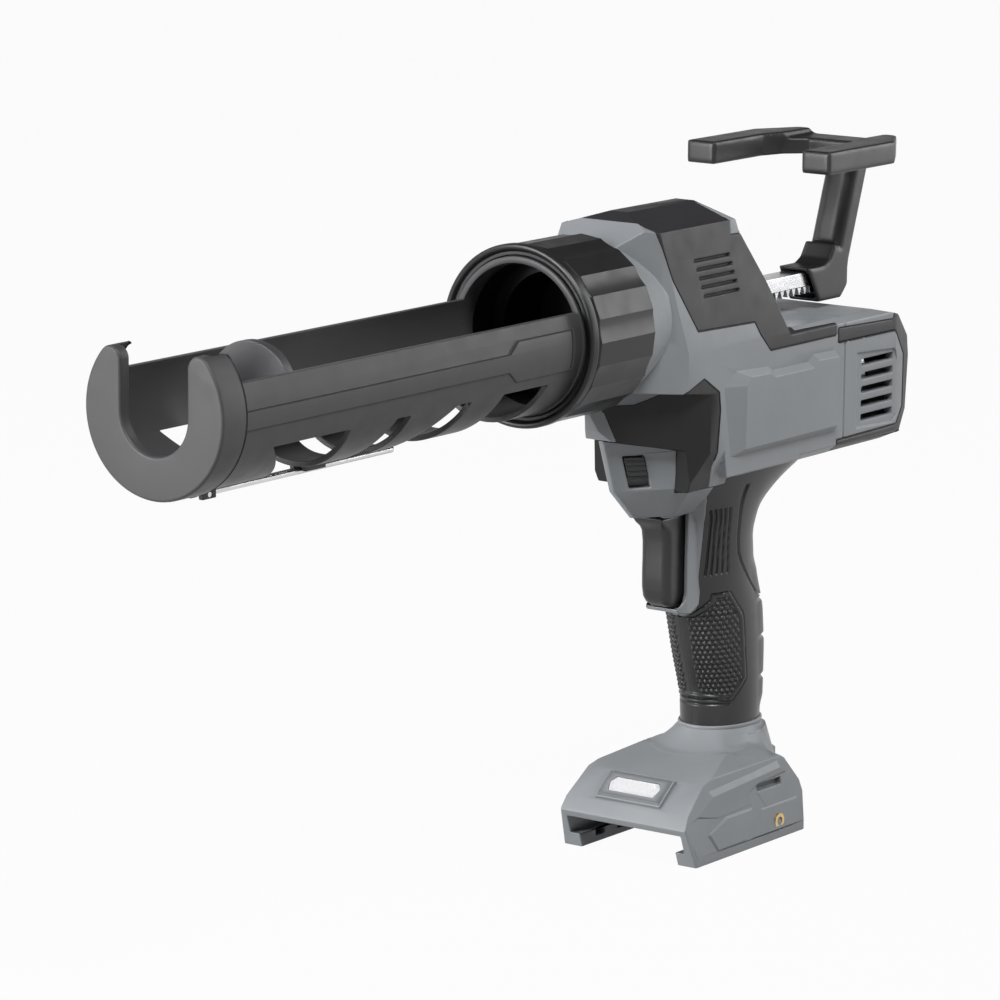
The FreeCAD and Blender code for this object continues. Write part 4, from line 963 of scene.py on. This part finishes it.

# %% [markdown]
# ## The trough's band
# A narrow band runs along each flank of the trough and widens near the collar. On the real moulding its
# edges are fine grooves that show as dark lines of shade. They could be cut as grooves, but the same dark
# bead, a little thinner, draws them as painted shade without touching the measured wall.

# %% Draw the trough's band
band_radius = 0.26
trough_lines = {"upper": [(188.0, 2.0), (42.8, 2.0), (37.3, 6.0), (6.0, 6.0)],
                "lower": [(188.0, -4.5), (42.8, -4.5), (37.3, -8.5), (6.0, -8.5)],
                "end": [(6.0, 6.0), (6.0, -8.5)]}
trough = skin_of("cartridge_holder")
for side, hand in ((1, "left"), (-1, "right")):
    for name, places in trough_lines.items():
        line = bead("trough_line_" + name + "_" + hand, trough, places, side, band_radius)
        # The bead's dark colour is painted shade of the band's grooves.
        dress(line, [], dull_inner, body_of["cartridge_holder"])
print("lines per flank of the trough:", len(trough_lines))

# %% [markdown]
# ## The foot's neck
# Where the grip meets the foot, the grey shell sweeps up to it in a hollow curve and ends in a thin lip.
# The measured neck is a plain cone, which is right inside but stiff to look at. A curved skirt is lofted
# over it: each of its lines runs from the grip outwards and sinks onto the foot along a hollow curve, and
# a ray from above finds the foot's height. The lip is a small ring round the grip.

# %% Loft the neck's skirt
neck_top = -163.0
skirt_steps = 12
skirt_lines = 72
skirt_gap = 0.2
rear_width = 6.5
front_extra = 7.0
skirt_hollow = 1.7
skirt_sunk = 0.3
skirt_cover = 0.15
lowest_foot = -176.0
skirt_turns = [2 * math.pi * index / skirt_lines for index in range(skirt_lines)]


def top_at(skin, x, y):
    hit, _, _, _ = skin.ray_cast(Vector((x * MM, y * MM, -0.12)), Vector((0, 0, -1)))
    return hit.z / MM if hit else None


def round_grip(out, turn):
    middle, reach, half = handle_ring(neck_top)
    return middle + (reach + out) * math.cos(turn), (half + out) * math.sin(turn)


foot_skin = skin_of("foot_left", "foot_right")
skirt_rows = []
for step in range(skirt_steps + 1):
    share = step / skirt_steps
    row = []
    for turn in skirt_turns:
        width = rear_width + front_extra * step_between(math.cos(turn), -0.75, 0.4)
        x, y = round_grip(skirt_gap + width * share, turn)
        end = top_at(foot_skin, *round_grip(skirt_gap + width, turn))
        low = end if end else lowest_foot
        height = low - skirt_sunk + (neck_top - low) * (1 - share) ** skirt_hollow
        under = top_at(foot_skin, x, y)
        if under and share < 0.95:
            height = max(height, min(under + skirt_cover, neck_top))
        row.append((x, y, height))
    skirt_rows.append(row)
skirt = loft_rows("neck_skirt", skirt_rows, capped=False)
dress(skirt, [], grey_shell, body_of["foot_left"])
print("skirt points:", len(skirt.data.vertices))

# %% Loft the neck's lip
lip_profile = [(0.1, 0.4), (0.5, 0.4), (0.8, 0.2), (0.9, -0.1), (0.85, -0.9), (0.6, -1.4)]
lip_rows = [[(*round_grip(out, turn), neck_top + rise) for turn in skirt_turns]
            for out, rise in lip_profile]
lip = loft_rows("neck_lip", lip_rows, capped=False)
dress(creased(lip, 50.0), [], grey_shell, body_of["foot_left"])
print("lip points:", len(lip.data.vertices))

# %% [markdown]
# ## The lamp's window
# The work light in the foot's front has a clear window cut like a flat gem: a long table, sloping borders
# and clipped corners. Outlines that shrink as they rise give those facets. A raised grey bezel frames it,
# lofted in the same way from a rectangle outside to the gem's outline inside.

# %% Cut the lamp's window
lens_points = [vertex.co.copy() for vertex in frame["nodes"]["led_lens"].data.vertices]
lens_middle = sum(lens_points, Vector()) / len(lens_points)
brow_out = Vector((0.61, 0, 0.79)).normalized()
brow_up = Vector((-brow_out.z, 0, brow_out.x))
brow_side = Vector((0, 1, 0))
lens_top = max((point - lens_middle).dot(brow_out) for point in lens_points)
lens_long = max((point - lens_middle).dot(brow_side) for point in lens_points)
lens_tall = max((point - lens_middle).dot(brow_up) for point in lens_points)
gem_outline = [(-1.0, 0.25), (-0.86, 1.0), (0.86, 1.0), (1.0, 0.25), (0.9, -1.0), (-0.9, -1.0)]


def on_brow(wide, tall, rise):
    return tuple((lens_middle + brow_side * wide + brow_up * tall + brow_out * rise) / MM)


def gem_ring(share, rise):
    ring = []
    for u, v in gem_outline:
        wide = u * share if abs(u) < 0.95 else u * (share + 0.02)
        tall = v * (share - 0.12 * (1 - share))
        ring.append(on_brow(lens_long * wide, lens_tall * tall, rise))
    return ring


gem_steps = [(0.99, -2.4), (0.99, -0.3), (0.84, 0.35), (0.78, 0.2)]
window = loft_rows("lamp_window", [gem_ring(share, lens_top + rise * MM) for share, rise in gem_steps])
for polygon in window.data.polygons:
    polygon.use_smooth = False
dress(window, ["led_lens"], lens_clear, body_of["led_lens"])
print("window", round(2 * lens_long / MM, 1), "x", round(2 * lens_tall / MM, 1), "mm")

# %% Frame the window with its bezel
bezel_outline = [(-1.0, 0.2), (-1.0, 1.0), (1.0, 1.0), (1.0, 0.2), (1.0, -1.0), (-1.0, -1.0)]
plate_top = lens_top - 0.7 * MM
bezel_low = plate_top - 0.3 * MM
bezel_high = plate_top + 0.7 * MM


def bezel_ring(long, tall, rise, outline):
    return [on_brow(long * u, tall * v, rise) for u, v in outline]


bezel_rows = [bezel_ring(14.3 * MM, 6.4 * MM, bezel_low, bezel_outline),
              bezel_ring(13.2 * MM, 5.3 * MM, bezel_high, bezel_outline),
              bezel_ring(lens_long * 1.03, lens_tall * 1.05, bezel_high, gem_outline),
              bezel_ring(lens_long * 0.99, lens_tall * 0.99, bezel_low, gem_outline)]
bezel = loft_rows("lamp_bezel", bezel_rows, capped=False)
dress(creased(bezel, 20.0), [], grey_shell, body_of["foot_left"])
print("bezel points:", len(bezel.data.vertices))

# %% [markdown]
# ## The floor
# The tool stands on a plain white floor, as in a product photograph. A matt floor alone would turn grey
# away from the lamps, so it shows white to the camera and in reflections, and a little of its own shading
# is mixed in so that the shadow under the foot stays. To all other rays it is a matt grey, so that it
# throws less light up at the tool than a white one would.


# %% Lay the floor
white_share = 0.96
floor_grey = 0.35
floor_half = 12.0


def seen_rays(tree):
    path = tree.nodes.new("ShaderNodeLightPath")
    total = path.outputs["Is Camera Ray"]
    for kind in ("Is Glossy Ray", "Is Transmission Ray"):
        add = tree.nodes.new("ShaderNodeMath")
        add.operation = "ADD"
        add.use_clamp = True
        link(tree, total, add.inputs[0])
        link(tree, path.outputs[kind], add.inputs[1])
        total = add.outputs[0]
    return total


def white_floor():
    finish = bpy.data.materials.new("white_floor")
    finish.use_nodes = True
    tree = finish.node_tree
    tree.nodes.clear()
    out = tree.nodes.new("ShaderNodeOutputMaterial")
    glow = tree.nodes.new("ShaderNodeEmission")
    glow.inputs["Color"].default_value = (1, 1, 1, 1)
    glow.inputs["Strength"].default_value = 1.0
    matt = tree.nodes.new("ShaderNodeBsdfDiffuse")
    matt.inputs["Color"].default_value = (floor_grey, floor_grey, floor_grey, 1)
    share = tree.nodes.new("ShaderNodeMath")
    share.operation = "MULTIPLY"
    share.inputs[1].default_value = white_share
    mix = tree.nodes.new("ShaderNodeMixShader")
    link(tree, seen_rays(tree), share.inputs[0])
    link(tree, share.outputs[0], mix.inputs["Fac"])
    link(tree, matt.outputs[0], mix.inputs[1])
    link(tree, glow.outputs[0], mix.inputs[2])
    link(tree, mix.outputs[0], out.inputs["Surface"])
    return finish


def lay_floor(height, half):
    mesh = bpy.data.meshes.new("floor")
    corners = [(-half, -half, height), (half, -half, height), (half, half, height), (-half, half, height)]
    mesh.from_pydata(corners, [], [(0, 1, 2, 3)])
    mesh.materials.append(white_floor())
    floor = bpy.data.objects.new("floor", mesh)
    bpy.context.collection.objects.link(floor)


floor_height = cad_box[0][2]
lay_floor(floor_height, floor_half)
print("floor at", round(floor_height, 4), "m")


# %% [markdown]
# ## The lamps
# Black plastic shows its form by what it mirrors, so it needs broad lamps rather than bright ones. A high
# key lamp models the facets, a low front lamp lights the faces that look forward, and two weaker ones
# behind draw the edges. Each is placed by its bearing, height and distance from the middle of the tool.

# %% Hang the lamps
lamp_aim = Vector((-0.02, 0.0, -0.06))


def soft_lamp(name, bearing, height, distance, width, tall, power):
    turn = math.radians(bearing)
    lamp = bpy.data.lights.new(name, "AREA")
    lamp.shape = "RECTANGLE"
    lamp.size = width
    lamp.size_y = tall
    lamp.energy = power
    holder = bpy.data.objects.new(name, lamp)
    place = lamp_aim + Vector((math.cos(turn) * distance, math.sin(turn) * distance, height))
    holder.location = place
    holder.rotation_euler = (lamp_aim - place).to_track_quat("-Z", "Y").to_euler()
    bpy.context.collection.objects.link(holder)


soft_lamp("front_lamp", bearing=-24, height=0.30, distance=1.2, width=0.4, tall=0.7, power=19)
soft_lamp("key_lamp", bearing=60, height=1.10, distance=0.75, width=0.45, tall=0.45, power=17)
soft_lamp("rim_lamp", bearing=150, height=0.45, distance=1.3, width=0.3, tall=1.0, power=7)
soft_lamp("far_lamp", bearing=-75, height=0.8, distance=1.2, width=0.4, tall=0.8, power=4)
print("lamps hung:", len(bpy.data.lights))

# %% [markdown]
# ## The backdrop
# Behind the floor's edge stands a white backdrop. A wall would throw light back at the tool, so the world
# is used instead: near the horizon it shows white to the camera and in reflections, and it fades out
# above, so that upward faces stay dark. To all other rays it gives only a faint even light.

# %% Put up the backdrop
backdrop_full = 0.12
backdrop_end = 0.30
faint_light = 0.05
world = bpy.data.worlds.new("studio")
world.use_nodes = True
studio = world.node_tree
sky = studio.nodes["Background"]
sky.inputs["Color"].default_value = (1, 1, 1, 1)
way = studio.nodes.new("ShaderNodeTexCoord")
parts = studio.nodes.new("ShaderNodeSeparateXYZ")
link(studio, way.outputs["Generated"], parts.inputs["Vector"])
backdrop = ranged(studio, parts.outputs["Z"], 1.0, 0.0, backdrop_full, backdrop_end)
shown = studio.nodes.new("ShaderNodeMath")
shown.operation = "MULTIPLY"
link(studio, backdrop.outputs["Result"], shown.inputs[0])
link(studio, seen_rays(studio), shown.inputs[1])
glow_level = ranged(studio, shown.outputs[0], faint_light, 1.0, 0.0, 1.0)
link(studio, glow_level.outputs["Result"], sky.inputs["Strength"])
bpy.context.scene.world = world
bpy.context.scene.view_settings.view_transform = "Standard"
print("backdrop fades out between", backdrop_full, "and", backdrop_end)
